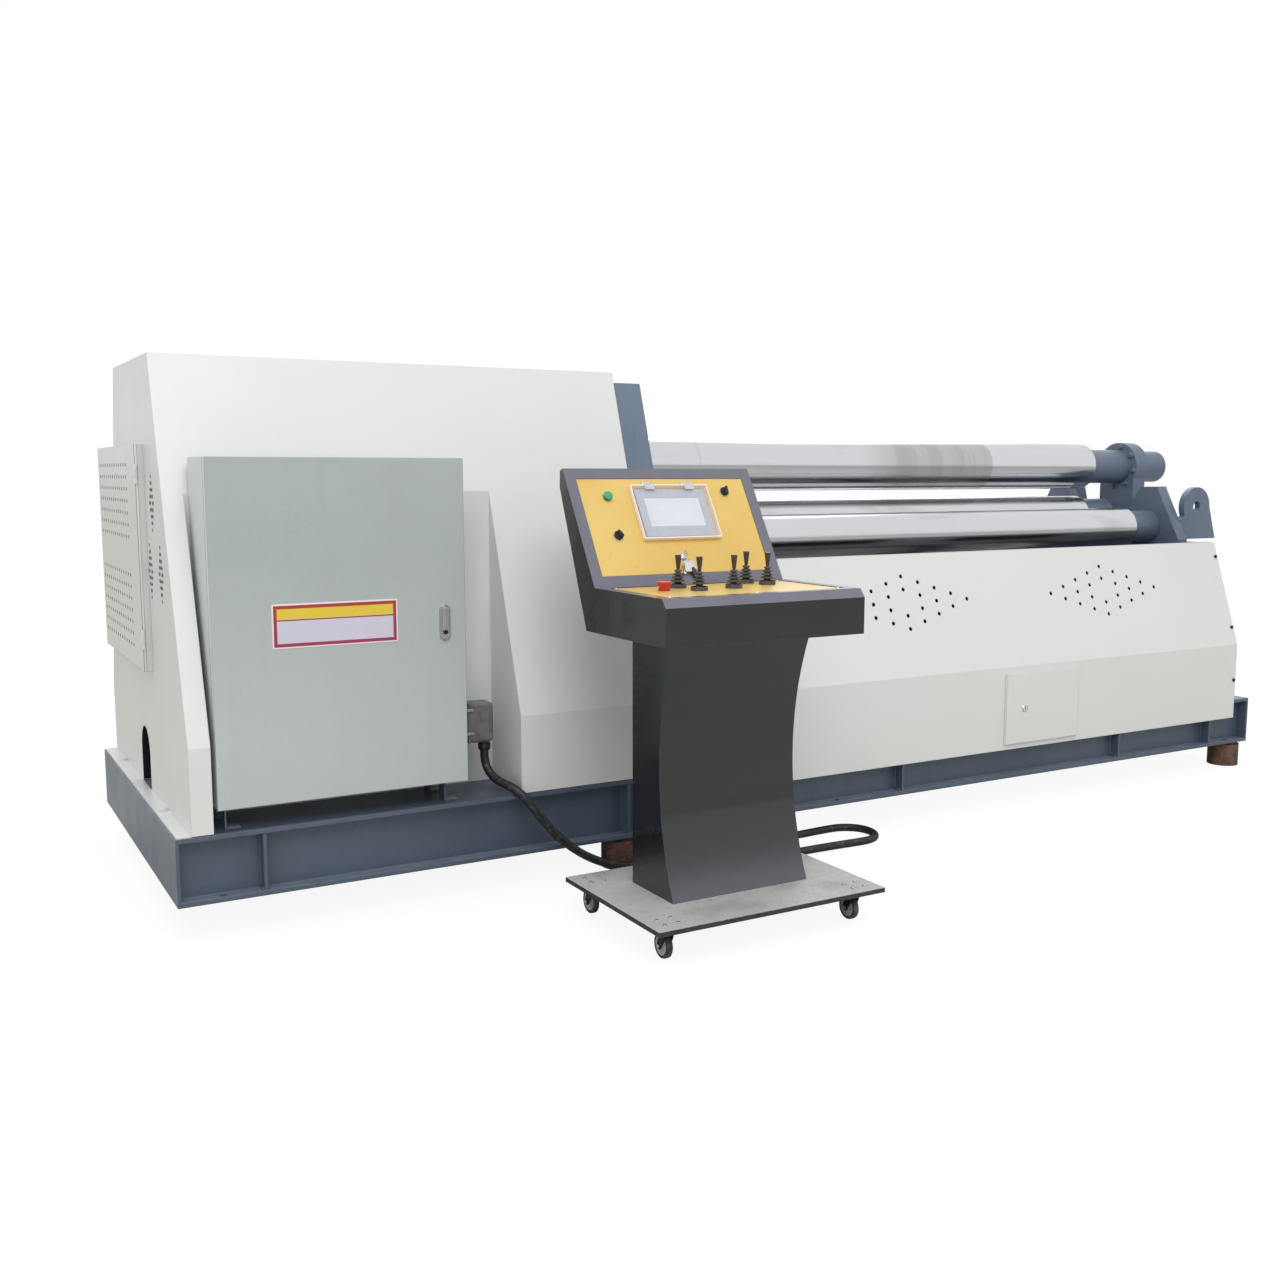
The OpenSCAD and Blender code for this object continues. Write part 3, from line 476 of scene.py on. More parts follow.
wall_white_hole_shade = painted("wall_white_hole_shade", **white_paint)
tree = wall_white_hole_shade.node_tree
wall_x = 0.045
kink_z, slope = 0.564, 0.3304
roof_z, deck_z, recess_depth = 1.6, 0.3134, 0.0605
mid_y = (base_y0 + base_y1) / 2
x, y, z = counted_from(tree, corner)
off_middle = off(tree, y, mid_y)
lean_in = times(tree, maths(tree, "MAXIMUM", maths(tree, "SUBTRACT", z, kink_z), 0.0), slope)
inward = maths(tree, "SUBTRACT", maths(tree, "SUBTRACT", mid_y, off_middle), lean_in)
in_wall = times(tree, maths(tree, "GREATER_THAN", x, wall_x + 0.0002),
                maths(tree, "LESS_THAN", x, wall_x + recess_depth))
between = times(tree, maths(tree, "LESS_THAN", z, roof_z),
                maths(tree, "GREATER_THAN", z, deck_z + 0.0011))
# Painted shade: within the wall's thickness, the sides of the slot and the vent holes are near black.
overpaint(wall_white_hole_shade, times(tree, times(tree, maths(tree, "GREATER_THAN", inward, 0.02), in_wall),
                            between), tone(14, 14, 15))
overpaint(wall_white_hole_shade, times(tree, maths(tree, "LESS_THAN", z, deck_z),
                            maths(tree, "GREATER_THAN", x, wall_x + 0.001)), tone(66, 76, 92))
cover_with(wall_white_hole_shade, "drive_housing")

zinc = mottled("zinc", tone(168, 170, 172), tone(206, 206, 204), (120, 4.0),
               rough=(0.3, 0.7, 0.28, 0.45), skin=True, Metallic=1.0)


def turned(profile, base, along=(0, 0, 1), side=None, pull=(0, 0), quarter=8):
    """A closed turned form. A point is base + h along the axis + r * (cos a, sin a) across
    it, for each (r, h) of the profile; each quarter turn is moved out by pull, which makes
    the circle a slot or a rounded rectangle. Ends at r = 0 are closed in their middle."""
    w = np.array(along, float) / np.linalg.norm(along)
    u = np.array(side if side is not None else ((1, 0, 0) if abs(w[0]) < 0.9 else (0, 1, 0)), float)
    u -= w * (u @ w)
    u /= np.linalg.norm(u)
    r, h = np.array(profile, float).T
    a = (np.arange(4)[:, None] + np.linspace(0, 1, quarter + 1)) * np.pi / 2
    x = r[:, None, None] * np.cos(a) + pull[0] * np.array([1, -1, -1, 1])[:, None]
    y = r[:, None, None] * np.sin(a) + pull[1] * np.array([1, 1, -1, -1])[:, None]
    rows = (x[..., None] * u + y[..., None] * np.cross(w, u)
            + h[:, None, None, None] * w).reshape(len(r), -1, 3)
    first, last = (np.broadcast_to(h[k] * w, (1, *rows.shape[1:])) for k in (0, -1))
    rows = np.concatenate(([first] if r[0] == 0 else []) + [rows] + ([last] if r[-1] == 0 else []))
    return rows.reshape(-1, 3) + base, quads(len(rows), rows.shape[1], True)


def hexagon(across, height, base, along, spin=0.0):
    """A bolt head: a six-sided prism with a chamfered top and a low dome, on a round washer."""
    angle = spin + np.arange(6) * np.pi / 3
    w = np.array(along, float)
    u = np.array((1, 0, 0) if abs(w[0]) < 0.9 else (0, 1, 0), float)
    ring = np.outer(np.cos(angle), u) + np.outer(np.sin(angle), np.cross(w, u))
    r = np.array([0, 1, 1, 0.86, 0]) * across / np.sqrt(3)
    h = np.array([0.1, 0.1, 0.85, 1.0, 1.04]) * height
    points = (r[:, None, None] * ring + h[:, None, None] * w).reshape(-1, 3) + base
    washer = turned([(0, 0), (across * 0.8, 0), (across * 0.8, height * 0.2),
                     (across * 0.72, height * 0.26), (0, height * 0.26)], base, along, quarter=6)
    return [(points, quads(5, 6, True)), washer]


bolt_x, flange_z = 0.029, 0.314
flange_bolts = sum([hexagon(0.019, 0.0085, (bolt_x, y, flange_z), (0, 0, 1), spin)
                    for y, spin in ((0.345, 0.3), (1.154, 0.9))], [])
piece("housing_bolts", flange_bolts, housing_white, "machine")

# ---- Roll frames, bearings and drop end ----
# Thick plates and turned castings in the same enamel, brushed on over a rougher skin,
# with oily dirt in it and bare metal along the edges.
casting = painted("blue_grey_casting", tone(104, 121, 143), tone(92, 107, 128), tone(66, 68, 72),
                  tone(140, 140, 142), grime=0.4, gloss=0.32, wear=0.8, radius=0.005,
                  dust=tone(108, 120, 136), peel=0.0016)
cover_with(casting, "left_roll_frame", "right_roll_frame", "drop_end_cheeks", "support_lugs",
           "bottom_roll_bearings", "front_roll_bearings", "rear_roll_bearings", "drop_end")
cover_with(zinc, "drop_end_pin")

# The drop end's cap has a raised rim, and its flange eight bolts on each side.


def middle(node):
    """Middle of a CAD node's box, in the machine's own frame."""
    return ends(node).mean(axis=0)


roll_y, roll_z = middle("top_roll")[1:]


def bolt_ring(count, radius, across, height, x, direction, first=0.0):
    """Bolt heads round the top roll's axis, evenly spaced from the first angle."""
    angles = first + np.arange(count) * 2 * np.pi / count
    places = [(x, roll_y + radius * np.cos(a), roll_z + radius * np.sin(a)) for a in angles]
    return sum([hexagon(across, height, place, (direction, 0, 0), a)
                for a, place in zip(angles, places)], [])


cap_x = ends("drop_end")[1][0]
flange_x, flange_t = cap_x - 0.18, 0.08
rim = turned([(0, -0.004), (0.062, -0.004), (0.064, -0.012), (0.0755, -0.012), (0.0755, -0.03),
              (0.0745, -0.031), (0, -0.031)], (cap_x + 0.004, roll_y, roll_z), (1, 0, 0),
             quarter=14)
piece("drop_end_cap", [rim], casting, "drop_end")
piece("drop_end_bolts",
      bolt_ring(8, 0.095, 0.019, 0.01, flange_x, 1)
      + bolt_ring(8, 0.098, 0.019, 0.01, flange_x - flange_t, -1, 0.2),
      casting, "drop_end")

# ---- Rolls ----
# Forged steel, turned and ground: bright, with fine rings round it from the grinding,
# a few deeper scores and thin smears of oil.
ground, takes, gives = group("ground_steel", [
    ("Steel", "Color", (0.6, 0.6, 0.6, 1)), ("Oil", "Color", (0.2, 0.19, 0.17, 1)),
    ("Oil Amount", "Float", 0.3), ("Gloss", "Float", 0.2)], [
    ("Color", "Color"), ("Roughness", "Float"), ("Height", "Float")])
rings = grain(ground, 1.0, 4.0, (420, 2.0, 2.0))
scores = ramp(ground, grain(ground, 1.0, 3.0, (24, 0.8, 0.8)), 0.66, 0.76)
smears = times(ground, takes["Oil Amount"], ramp(
    ground, grain(ground, 1.0, 5.0, (2.2, 9, 9)), 0.52, 0.74))
scored = mixed(ground, times(ground, scores, 0.1), takes["Steel"], (0.25, 0.25, 0.26, 1))
dull = maths(ground, "ADD", times(ground, rings, 0.05), times(ground, smears, 0.2))
put_out(ground, gives, Color=mixed(ground, smears, scored, takes["Oil"]),
        Roughness=maths(ground, "ADD", takes["Gloss"], dull),
        Height=maths(ground, "ADD", rings, times(ground, scores, -0.4)))


def roll_finish(name, film=None, oil=0.12, gloss=0.16):
    """Ground steel, dull under a worn film between two places along the roll. The film
    fades in slowly at its first end, where it was rubbed off."""
    made, tree, shader = surface(name, Metallic=1.0)
    steel = use(tree, ground, Steel=tone(210, 211, 214), Oil=tone(84, 78, 70), Oil_Amount=oil,
                Gloss=gloss)
    colour, roughness = steel["Color"], steel["Roughness"]
    if film:
        along = reading(tree, "Object", 0)
        start, stop = film[0] + corner[0], film[1] + corner[0]
        patch = times(tree, ramp(tree, along, start, start + 0.3),
                      ramp(tree, along, stop, stop - 0.012))
        streaks = ramp(tree, grain(tree, 1.0, 4.0, (26, 1.2, 1.2)), 0.35, 0.65, 0.75, 1.0)
        amount = times(tree, patch, streaks)
        colour = mixed(tree, times(tree, amount, 0.62), colour, tone(150, 154, 150))
        roughness = maths(tree, "ADD", roughness, times(tree, amount, 0.08))
    feed(tree, shader, colour=colour, roughness=roughness, height=steel["Height"], depth=0.00006,
         normal=soft_edge(tree, 0.004))
    return made


cover_with(roll_finish("top_roll_steel", film=(2.88, 3.67), gloss=0.13), "top_roll")
cover_with(roll_finish("bottom_roll_steel", oil=0.3, gloss=0.2), "bottom_roll")
cover_with(roll_finish("side_roll_steel", oil=0.25, gloss=0.18),
           "front_side_roll", "rear_side_roll")

# ---- Sheet covers ----
# Folded sheet in the housing's white, screwed to the base's end posts. Black sheets of
# painted shade hang behind the vents, so that the holes read dark.
shade_felt = mottled("vent_shade_felt", tone(12, 12, 13), tone(34, 34, 35), (300, 3.0), skin=True,
               depth=0.001, Roughness=0.95, Specular_IOR_Level=0.1)
cover_x1 = ends("front_cover")[1][0]


def shade_sheet(back, side):
    """A thin sheet along the cover's slope: a slot-turned plate, wide along X, tilted with
    the sheet; side 0 is the front cover and 1 its mirror image at the back."""
    z = kink_z + 0.274
    y = (z - kink_z) * slope + 0.008
    tilt = np.arctan(slope)
    away = np.array((0, -np.cos(tilt), np.sin(tilt)))
    points, faces = turned([(0, 0), (0.02, 0), (0.021, 0.001), (0.02, 0.002), (0, 0.002)],
                           (cover_x1 - back, y, z), away, (1, 0, 0), (0.33, 0.105), 4)
    if side:
        points[:, 1] = 2 * mid_y - points[:, 1]
    return points, faces


# Dark sheets of painted shade behind the vents of both covers.
piece("vent_shade_sheets", [shade_sheet(back, side) for back in (0.784, 1.884) for side in (0, 1)],
      shade_felt, "machine")

black_oxide = mottled("black_oxide", tone(24, 24, 26), tone(52, 52, 54), (200, 3.0),
                      rough=(0.3, 0.7, 0.35, 0.55), skin=True, depth=0.0003, Metallic=0.6)


def cap_screw(x, y, z, along, radius=0.0075):
    """A socket head screw: a turned head with a rounded rim and a well in its middle."""
    return turned([(0, -0.001), (radius, -0.001), (radius, 0.0045), (radius * 0.88, 0.006),
                   (radius * 0.5, 0.006), (radius * 0.42, 0.0015), (0, 0.001)], (x, y, z), along)


lean = np.arctan(slope)
sloping = (0, -np.cos(lean), np.sin(lean))
cover_y, screw_x = -0.003, cover_x1 - 0.014
upper = [cap_screw(screw_x, (z - kink_z) * slope + cover_y / np.cos(lean), z, sloping)
         for z in (0.955, 0.641)]
screws = upper + [cap_screw(screw_x, cover_y, 0.403, (0, -1, 0))]
rear = [(np.stack([p[:, 0], 2 * mid_y - p[:, 1], p[:, 2]], axis=1), f) for p, f in upper]
piece("cover_screws", screws + rear, black_oxide, "machine")

# ---- Access door ----
# A pressed pan in the housing's white that closes the hole in the front cover, held by a
# round chromed quarter-turn lock.
cover_with(housing_white, "access_door")
chrome = mottled("chrome", tone(196, 198, 202), tone(226, 227, 229), (90, 3.0),
                 rough=(0.35, 0.65, 0.08, 0.2), Metallic=1.0)
hatch_lo = ends("access_door")[0]
lock_at = hatch_lo + (0.1, 0.0044, 0.14)
lock = [turned([(0, 0.0), (0.0155, 0.0), (0.0155, -0.002), (0.0135, -0.0045), (0.0095, -0.0048),
                (0.009, -0.003), (0, -0.003)], lock_at, (0, 1, 0), quarter=10)]
slot_cut = [turned([(0, -0.0052), (0.0012, -0.0052), (0.0016, -0.0048), (0.0016, -0.0025),
                    (0, -0.0025)], lock_at, (0, 1, 0), (0, 0, 1), (0.0045, 0), 4)]
piece("access_lock", lock, chrome, "access_door")
piece("access_lock_slot", slot_cut, black_oxide, "access_door")

# ---- Perforated door ----
# A sheet leaf with two blocks of punched holes, hung on two barrel hinges on the front
# edge of the vent box, whose back is lined with a black sheet of painted shade.
leaf_lo, leaf_hi = ends("perforated_door")
box_lo, box_hi = ends("vent_box")


def perforated(y_lines, z_lines, holes, radius, x0, x1):
    """A plate of rectangular cells. In each, rings of faces run from 16 points round the
    cell's border to a circle (or its middle, where holes is False), in front and behind,
    the circles are joined through the plate, and its rim is closed with the same points."""
    count = 16
    edge, along = np.divmod(np.arange(count), 4)
    ones, rising, falling = np.ones(count), along / 2 - 1, 1 - along / 2
    u = np.choose(edge, (ones, falling, -ones, rising))
    v = np.choose(edge, (rising, ones, falling, -ones))
    angle = np.arctan2(v, u)
    mid = np.stack(np.meshgrid((y_lines[1:] + y_lines[:-1]) / 2, (z_lines[1:] + z_lines[:-1]) / 2,
                               indexing="ij"), axis=-1)
    half = np.stack(np.meshgrid(np.diff(y_lines) / 2, np.diff(z_lines) / 2, indexing="ij"), axis=-1)
    outer = mid[..., None, :] + half[..., None, :] * np.stack([u, v], axis=-1)
    inner = mid[..., None, :] + np.where(holes, radius, 0.0)[..., None, None] * np.stack(
        [np.cos(angle), np.sin(angle)], axis=-1)
    loops = np.stack([np.insert(outer, 0, x0, axis=-1), np.insert(inner, 0, x0, axis=-1),
                      np.insert(inner, 0, x1, axis=-1), np.insert(outer, 0, x1, axis=-1)], axis=2)
    cells = loops.shape[0] * loops.shape[1]
    faces = np.arange(cells)[:, None, None] * 4 * count + quads(4, count, True)
    faces = faces.reshape(cells, 3, count, 4)
    keep = np.ones((cells, 3, count), bool)
    keep[~holes.ravel(), 1] = False
    fine_y, fine_z = (np.unique(np.round(np.concatenate([lines[:-1] + np.diff(lines) * f for f in (
        0, 0.25, 0.5, 0.75)] + [lines[-1:]]), 9)) for lines in (y_lines, z_lines))
    rim = np.concatenate([
        np.stack([fine_y[:-1], np.full(len(fine_y) - 1, z_lines[0])], axis=1),
        np.stack([np.full(len(fine_z) - 1, y_lines[-1]), fine_z[:-1]], axis=1),
        np.stack([fine_y[:0:-1], np.full(len(fine_y) - 1, z_lines[-1])], axis=1),
        np.stack([np.full(len(fine_z) - 1, y_lines[0]), fine_z[:0:-1]], axis=1)])
    band = np.stack([np.insert(rim, 0, x, axis=1) for x in (x0, x1)]).reshape(-1, 3)
    return [(loops.reshape(-1, 3), faces[keep]), (band, quads(2, len(rim), True))]


hole_y = np.linspace(leaf_lo[1] + 0.165, leaf_hi[1] - 0.022, 14)
upper_z = np.linspace(leaf_hi[2] - 0.308, leaf_hi[2] - 0.042, 8)
lower_z = np.linspace(leaf_lo[2] + 0.046, leaf_lo[2] + 0.309, 8)
leaf_y0 = leaf_lo[1] + 0.009
y_lines = np.concatenate([[leaf_y0, leaf_y0 + 0.05, leaf_y0 + 0.1], hole_y, [leaf_hi[1]]])
z_lines = np.concatenate([[leaf_lo[2]], lower_z, [1.075], upper_z, [leaf_hi[2]]])
holes = np.zeros((len(y_lines) - 1, len(z_lines) - 1), bool)
holes[3:16, 1:8] = True
holes[3:16, 10:17] = True
leaf_x0, leaf_x1 = leaf_lo[0], box_lo[0] - 0.0005
skin_t = 0.0012
leaf = perforated(y_lines, z_lines, holes, 0.0066, leaf_x0, leaf_x0 + skin_t)
# Painted shade: behind the leaf's front face, its hole walls and its back are near black, so that the holes
# read dark.
punched_white_hole_shade = painted("punched_white_hole_shade", **white_paint)
tree = punched_white_hole_shade.node_tree
front = corner[0] + leaf_x0
overpaint(punched_white_hole_shade, ramp(tree, reading(tree, "Object", 0), front + 0.0001, front + 0.0004),
          tone(40, 40, 42))
perforated_leaf = piece("perforated_leaf", leaf, punched_white_hole_shade, "perforated_door")
knuckle_y, knuckle_x, knuckle_r = leaf_lo[1] + 0.005, leaf_x0 + 0.001, 0.005
hinge_z, knuckle_h, knuckle_gap, chamfer = (0.79, 1.3), 0.0196, 0.0006, 0.0008
knuckles = []
for z in hinge_z:
    for part in range(3):
        knuckles.append(turned(
            [(0, 0), (knuckle_r - chamfer, 0), (knuckle_r, chamfer),
             (knuckle_r, knuckle_h - chamfer), (knuckle_r - chamfer, knuckle_h), (0, knuckle_h)],
            (knuckle_x, knuckle_y, z + part * (knuckle_h + knuckle_gap))))
    knuckles.append(turned(
        [(0, 0), (0.003, 0), (0.0035, chamfer), (0.003, 2 * chamfer), (0, 2 * chamfer)],
        (leaf_x0 - 0.0012, leaf_y0 + 0.018, z + 0.03), (1, 0, 0), None, (0.024, 0.008), 4))
fold, fold_t, fold_gap = 0.01, 0.0008, 0.0009
leaf_mid = ((leaf_y0 + leaf_hi[1]) / 2, (leaf_lo[2] + leaf_hi[2]) / 2)
leaf_half = ((leaf_hi[1] - leaf_y0) / 2, (leaf_hi[2] - leaf_lo[2]) / 2)


def slab(radius, low, high, base, along=(0, 0, 1), side=None, pull=(0, 0), quarter=8):
    """A turned form with flat ends, at low and high along its axis."""
    return turned([(0, low), (radius, low), (radius, high), (0, high)], base, along, side, pull,
                  quarter)


folds = [slab(fold_t, 0, leaf_x1 - leaf_x0 - skin_t,
              (leaf_x0 + skin_t, leaf_mid[0] + s * a * (leaf_half[0] - fold / 2),
               leaf_mid[1] + s * b * (leaf_half[1] - fold / 2)), (1, 0, 0), (0, 1, 0),
              (fold / 2 - fold_gap if a else leaf_half[0] - fold - 0.001,
               fold / 2 - fold_gap if b else leaf_half[1] - fold_gap), 2)
         for s in (-1, 1) for a, b in ((1, 0), (0, 1))]
piece("perforated_hinges", knuckles + folds, housing_white, "perforated_door")
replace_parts(perforated_leaf, "perforated_door")
box_mid, box_half = (box_lo + box_hi) / 2, (box_hi - box_lo) / 2
# A black sheet of painted shade lines the back of the vent box.
shade_backing = slab(0.004, 0, 0.001, (box_hi[0] - 0.0045, *box_mid[1:]), (1, 0, 0), (0, 1, 0),
               tuple(box_half[1:] - 0.008), 4)
piece("vent_box_shade_sheet", [shade_backing], shade_felt, "machine")

# A narrow dark line of painted shadow runs down the vent box beside the leaf's hinged edge.
vent_white_gap_shadow = painted("vent_white_gap_shadow", **white_paint)
tree = vent_white_gap_shadow.node_tree
gap_y, gap_half = leaf_y0 - 0.003, 0.0028
off_gap = off(tree, reading(tree, "Object", 1), corner[1] + gap_y)
overpaint(vent_white_gap_shadow, ramp(tree, off_gap, gap_half + 0.0004, gap_half - 0.0004),
          tone(52, 52, 54))
cover_with(vent_white_gap_shadow, "vent_box")

# ---- Electric cabinet ----
# A wall cabinet in textured light grey powder coat on four angle legs. Its door is a
# folded pan, with a swing handle, a blank enamelled sign and a rubber seal inside.
cabinet_grey = painted("cabinet_grey", tone(176, 185, 184), tone(171, 180, 179),
                       tone(128, 124, 116), tone(150, 152, 150), grime=0.12, gloss=0.38,
                       wear=0.25, radius=0.004, peel=0.0007)
tree = cabinet_grey.node_tree
# Painted light: the cabinet's side facing -X is painted paler than its front.
overpaint(cabinet_grey, maths(tree, "LESS_THAN", reading(tree, "Normal", "X"), -0.7),
          tone(214, 220, 218))
# Painted light: the grey is painted paler towards the bottom of the cabinet.
overpaint(cabinet_grey, ramp(tree, reading(tree, "Object", 2), 1.15, 0.45, 0.0, 0.45),
          tone(206, 214, 213))
# Painted shade: a dark line runs down the side where the door meets the box.
seam_y, seam_half = 0.02525, 0.0014
off_seam = off(tree, reading(tree, "Object", 1), corner[1] + seam_y)
overpaint(cabinet_grey, ramp(tree, off_seam, seam_half + 0.0004, seam_half - 0.0004),
          tone(78, 82, 82))
cover_with(cabinet_grey, "cabinet_box", "cabinet_door")
cover_with(enamel, "cabinet_legs")
door_lo, door_hi = ends("cabinet_door")
cabinet_hi = ends("cabinet_box")[1]

handle_x, handle_z = door_hi[0] - 0.068, door_lo[2] + 0.503
brushed = mottled("brushed_zinc", tone(150, 153, 154), tone(196, 198, 198),
                  (1.0, 4.0, (300, 300, 8)), rough=(0.3, 0.7, 0.25, 0.45), skin=True,
                  depth=0.0002, Metallic=1.0)
outwards, upright = (0, -1, 0), (0, 0, 1)
escutcheon = turned([(0, 0.001), (0.0165, 0.001), (0.0165, 0.0062), (0.015, 0.0076),
                     (0.0138, 0.0076), (0.013, 0.0064), (0, 0.0064)],
                    (handle_x, 0, handle_z), outwards, upright, (0.038, 0), 10)
paddle = turned([(0, 0.0062), (0.0105, 0.0062), (0.0102, 0.0085), (0.0088, 0.01), (0, 0.0108)],
                (handle_x, 0, handle_z + 0.01), outwards, upright, (0.028, 0), 8)
piece("door_handle", [escutcheon, paddle], brushed, "cabinet_door")
barrel = turned([(0, 0.006), (0.0072, 0.006), (0.0072, 0.0112), (0.0062, 0.012),
                 (0.004, 0.012), (0.0036, 0.0108), (0, 0.0108)],
                (handle_x, 0, handle_z - 0.03), outwards)
piece("door_key_barrel", [barrel], black_oxide, "cabinet_door")

sign_x, sign_z, sign_w, sign_h = 0.4785, 0.8955, 0.375, 0.129
sign_finish, tree, shader = surface("sign_enamel", Coat_Weight=0.3, Coat_Roughness=0.15)
across, _, height = counted_from(tree, corner + (sign_x, 0, sign_z))
far_x, far_z = (maths(tree, "SUBTRACT", half, maths(tree, "ABSOLUTE", out))
                for half, out in ((sign_w / 2, across), (sign_h / 2, height)))
rim = maths(tree, "MINIMUM", far_x, far_z)
fade = grain(tree, 7, 4.0)
band = ramp(tree, height, sign_h / 2 - 0.0455, sign_h / 2 - 0.044)
line = times(tree, ramp(tree, height, sign_h / 2 - 0.05, sign_h / 2 - 0.049),
             ramp(tree, height, sign_h / 2 - 0.045, sign_h / 2 - 0.046))
field = mixed(tree, band, mixed(tree, fade, tone(216, 210, 226), tone(206, 204, 220)),
              mixed(tree, fade, tone(236, 198, 44), tone(226, 206, 70)))
crimson = mixed(tree, ramp(tree, height, -0.03, 0.05), tone(156, 48, 84), tone(172, 52, 44))
framed = mixed(tree, ramp(tree, rim, 0.015, 0.0138), mixed(tree, line, field, crimson), crimson)
feed(tree, shader, colour=mixed(tree, ramp(tree, rim, 0.0052, 0.004), framed, tone(240, 226, 232)),
     roughness=ramp(tree, fade, 0.3, 0.7, 0.25, 0.4), height=fade, depth=0.0002)
sign_r = 0.003
sign = turned([(0, -0.0002), (sign_r, -0.0002), (sign_r, 0.0008), (0.0024, 0.0012), (0, 0.0012)],
              (sign_x, 0, sign_z), outwards, (1, 0, 0),
              (sign_w / 2 - sign_r, sign_h / 2 - sign_r), 4)
piece("door_sign", [sign], sign_finish, "cabinet_door")

rubber = mottled("seal_rubber", tone(24, 24, 25), tone(44, 43, 42), (40,), skin=(160,),
                 depth=0.0006, Roughness=0.7)


def frame_tube(lo, hi, y, radius, turn):
    """A seal: a round profile carried along a rectangle with rounded corners in the XZ plane."""
    a = (np.arange(4)[:, None] + np.linspace(0, 1, 7)) * np.pi / 2
    mid, half = (np.array(lo) + hi) / 2, (np.array(hi) - lo) / 2 - turn
    line_x = (mid[0] + half[0] * np.array([1, -1, -1, 1])[:, None] + turn * np.cos(a)).ravel()
    line_z = (mid[1] + half[1] * np.array([1, 1, -1, -1])[:, None] + turn * np.sin(a)).ravel()
    out = np.stack([np.cos(a).ravel(), np.zeros(a.size), np.sin(a).ravel()], axis=1)
    b = np.linspace(0, 2 * np.pi, 8, endpoint=False)
    centre = np.stack([line_x, np.full(line_x.size, y), line_z], axis=1)
    points = centre[:, None] + radius * (np.cos(b)[:, None] * out[:, None, :]
                                         + np.sin(b)[:, None] * np.array((0, 1, 0)))
    loop = quads(len(centre) + 1, len(b), True) % (len(centre) * len(b))
    return points.reshape(-1, 3), loop


inset = 0.014
piece("door_seal", [frame_tube(door_lo[[0, 2]] + inset, door_hi[[0, 2]] - inset,
                               door_hi[1] - 0.0065, 0.005, 0.02)],
      rubber, "cabinet_door")

# Inside hangs a galvanised plate with two rails of terminals and cable trunking.
galvanised, tree, shader = surface("galvanised_plate", Metallic=0.9)
spangle = wire(tree, "TexVoronoi", None, {
    "Vector": wire(tree, "TexCoord").outputs["Object"], "Scale": 90.0}).outputs["Color"]
spangle = wire(tree, "SeparateColor", None, {0: spangle}).outputs[0]
feed(tree, shader, colour=mixed(tree, spangle, tone(158, 162, 164), tone(196, 199, 200)),
     roughness=ramp(tree, spangle, 0.0, 1.0, 0.35, 0.55), height=spangle, depth=0.0002)
grey_plastic = mottled("grey_plastic", tone(150, 154, 156), tone(136, 140, 143), (6,),
                       skin=(500, 1.0), Roughness=0.5)
inside = middle("cabinet_box")
inside[1] = cabinet_hi[1] - 0.018


def block(centre, size, edge=0.004, along=(0, -1, 0)):
    """A box with rounded edges, size (width, height, depth), its back on centre: a turned
    profile whose quarters are pulled out to the box's corners."""
    wide, tall, deep = size
    return turned([(0, 0), (edge, 0), (edge, deep - edge * 0.5), (edge * 0.5, deep), (0, deep)],
                  centre, along, (1, 0, 0), (wide / 2 - edge, tall / 2 - edge), 3)


def blocks(origin, rows, along=(0, -1, 0)):
    """Boxes, one for each row: its place from the origin, its size and, where it isn't the
    usual one, its edge."""
    return [block(np.add(origin, row[:3]), row[3:6], *row[6:], along=along) for row in rows]


studs = [slab(0.008, 0, 0.02, inside + (sx * 0.31, 0.0175, sz * 0.43), outwards)
         for sx in (-1, 1) for sz in (-1, 1)]
piece("mounting_plate", blocks(inside, [(0, 0.003, 0, 0.66, 0.9, 0.003, 0.001)]) + studs,
      galvanised, "machine")
trunking = blocks(inside, [(0, 0, z, 0.62, 0.045, 0.055) for z in (-0.4, -0.06, 0.26)]
                  + [(x, 0, 0.02, 0.03, 0.8, 0.055) for x in (-0.295, 0.295)])
devices = blocks(inside, [(-0.235 + 0.047 * k, 0, 0.095, 0.043, 0.095, 0.07) for k in range(11)]
                 + [(-0.225 + 0.0225 * k, 0, -0.225, 0.02, 0.07, 0.048, 0.002)
                    for k in range(21)]
                 + [(-0.12, 0, 0.36, 0.24, 0.12, 0.09), (0.16, 0, 0.36, 0.16, 0.12, 0.1)])
piece("cabinet_trunking", trunking, grey_plastic, "machine")
piece("cabinet_devices", devices, cabinet_grey, "machine")

# ---- Heavy-duty connector ----
# A die-cast hood on a bulkhead base beside the cabinet, clamped by two levers, with a
# black gland nut under it that the cable leaves straight down.
die_cast, tree, shader = surface("die_cast_hood", Coat_Weight=0.1)
pebble = grain(tree, 260, 3.0)
edge = use(tree, worn, Radius=0.002, Wear=0.8)
feed(tree, shader, colour=mixed(tree, edge["Mask"], mixed(
    tree, ramp(tree, grain(tree, 25), 0.35, 0.7), tone(116, 115, 113), tone(92, 91, 89)),
    tone(170, 170, 170)), roughness=ramp(tree, pebble, 0.3, 0.7, 0.4, 0.55), height=pebble,
     depth=0.0006, normal=edge["Normal"])
plug = np.array((cabinet_hi[0], middle("cable_connector")[1],
                 ends("cable_connector")[0][2] + 0.025))
hood = blocks(plug, [(0.019, 0.028, 0.075, 0.038, 0.11, 0.056, 0.005),
                     (0.081, 0.031, 0.07, 0.086, 0.128, 0.062, 0.014),
                     (0.04, 0.032, 0.071, 0.008, 0.13, 0.064, 0.003)]
              + [(0.125 - 0.018 * k, -0.0305, 0.07, 0.006, 0.075, 0.0015, 0.0007)
                 for k in range(1, 4)])
piece("connector_hood", hood, die_cast, "machine")
levers = []
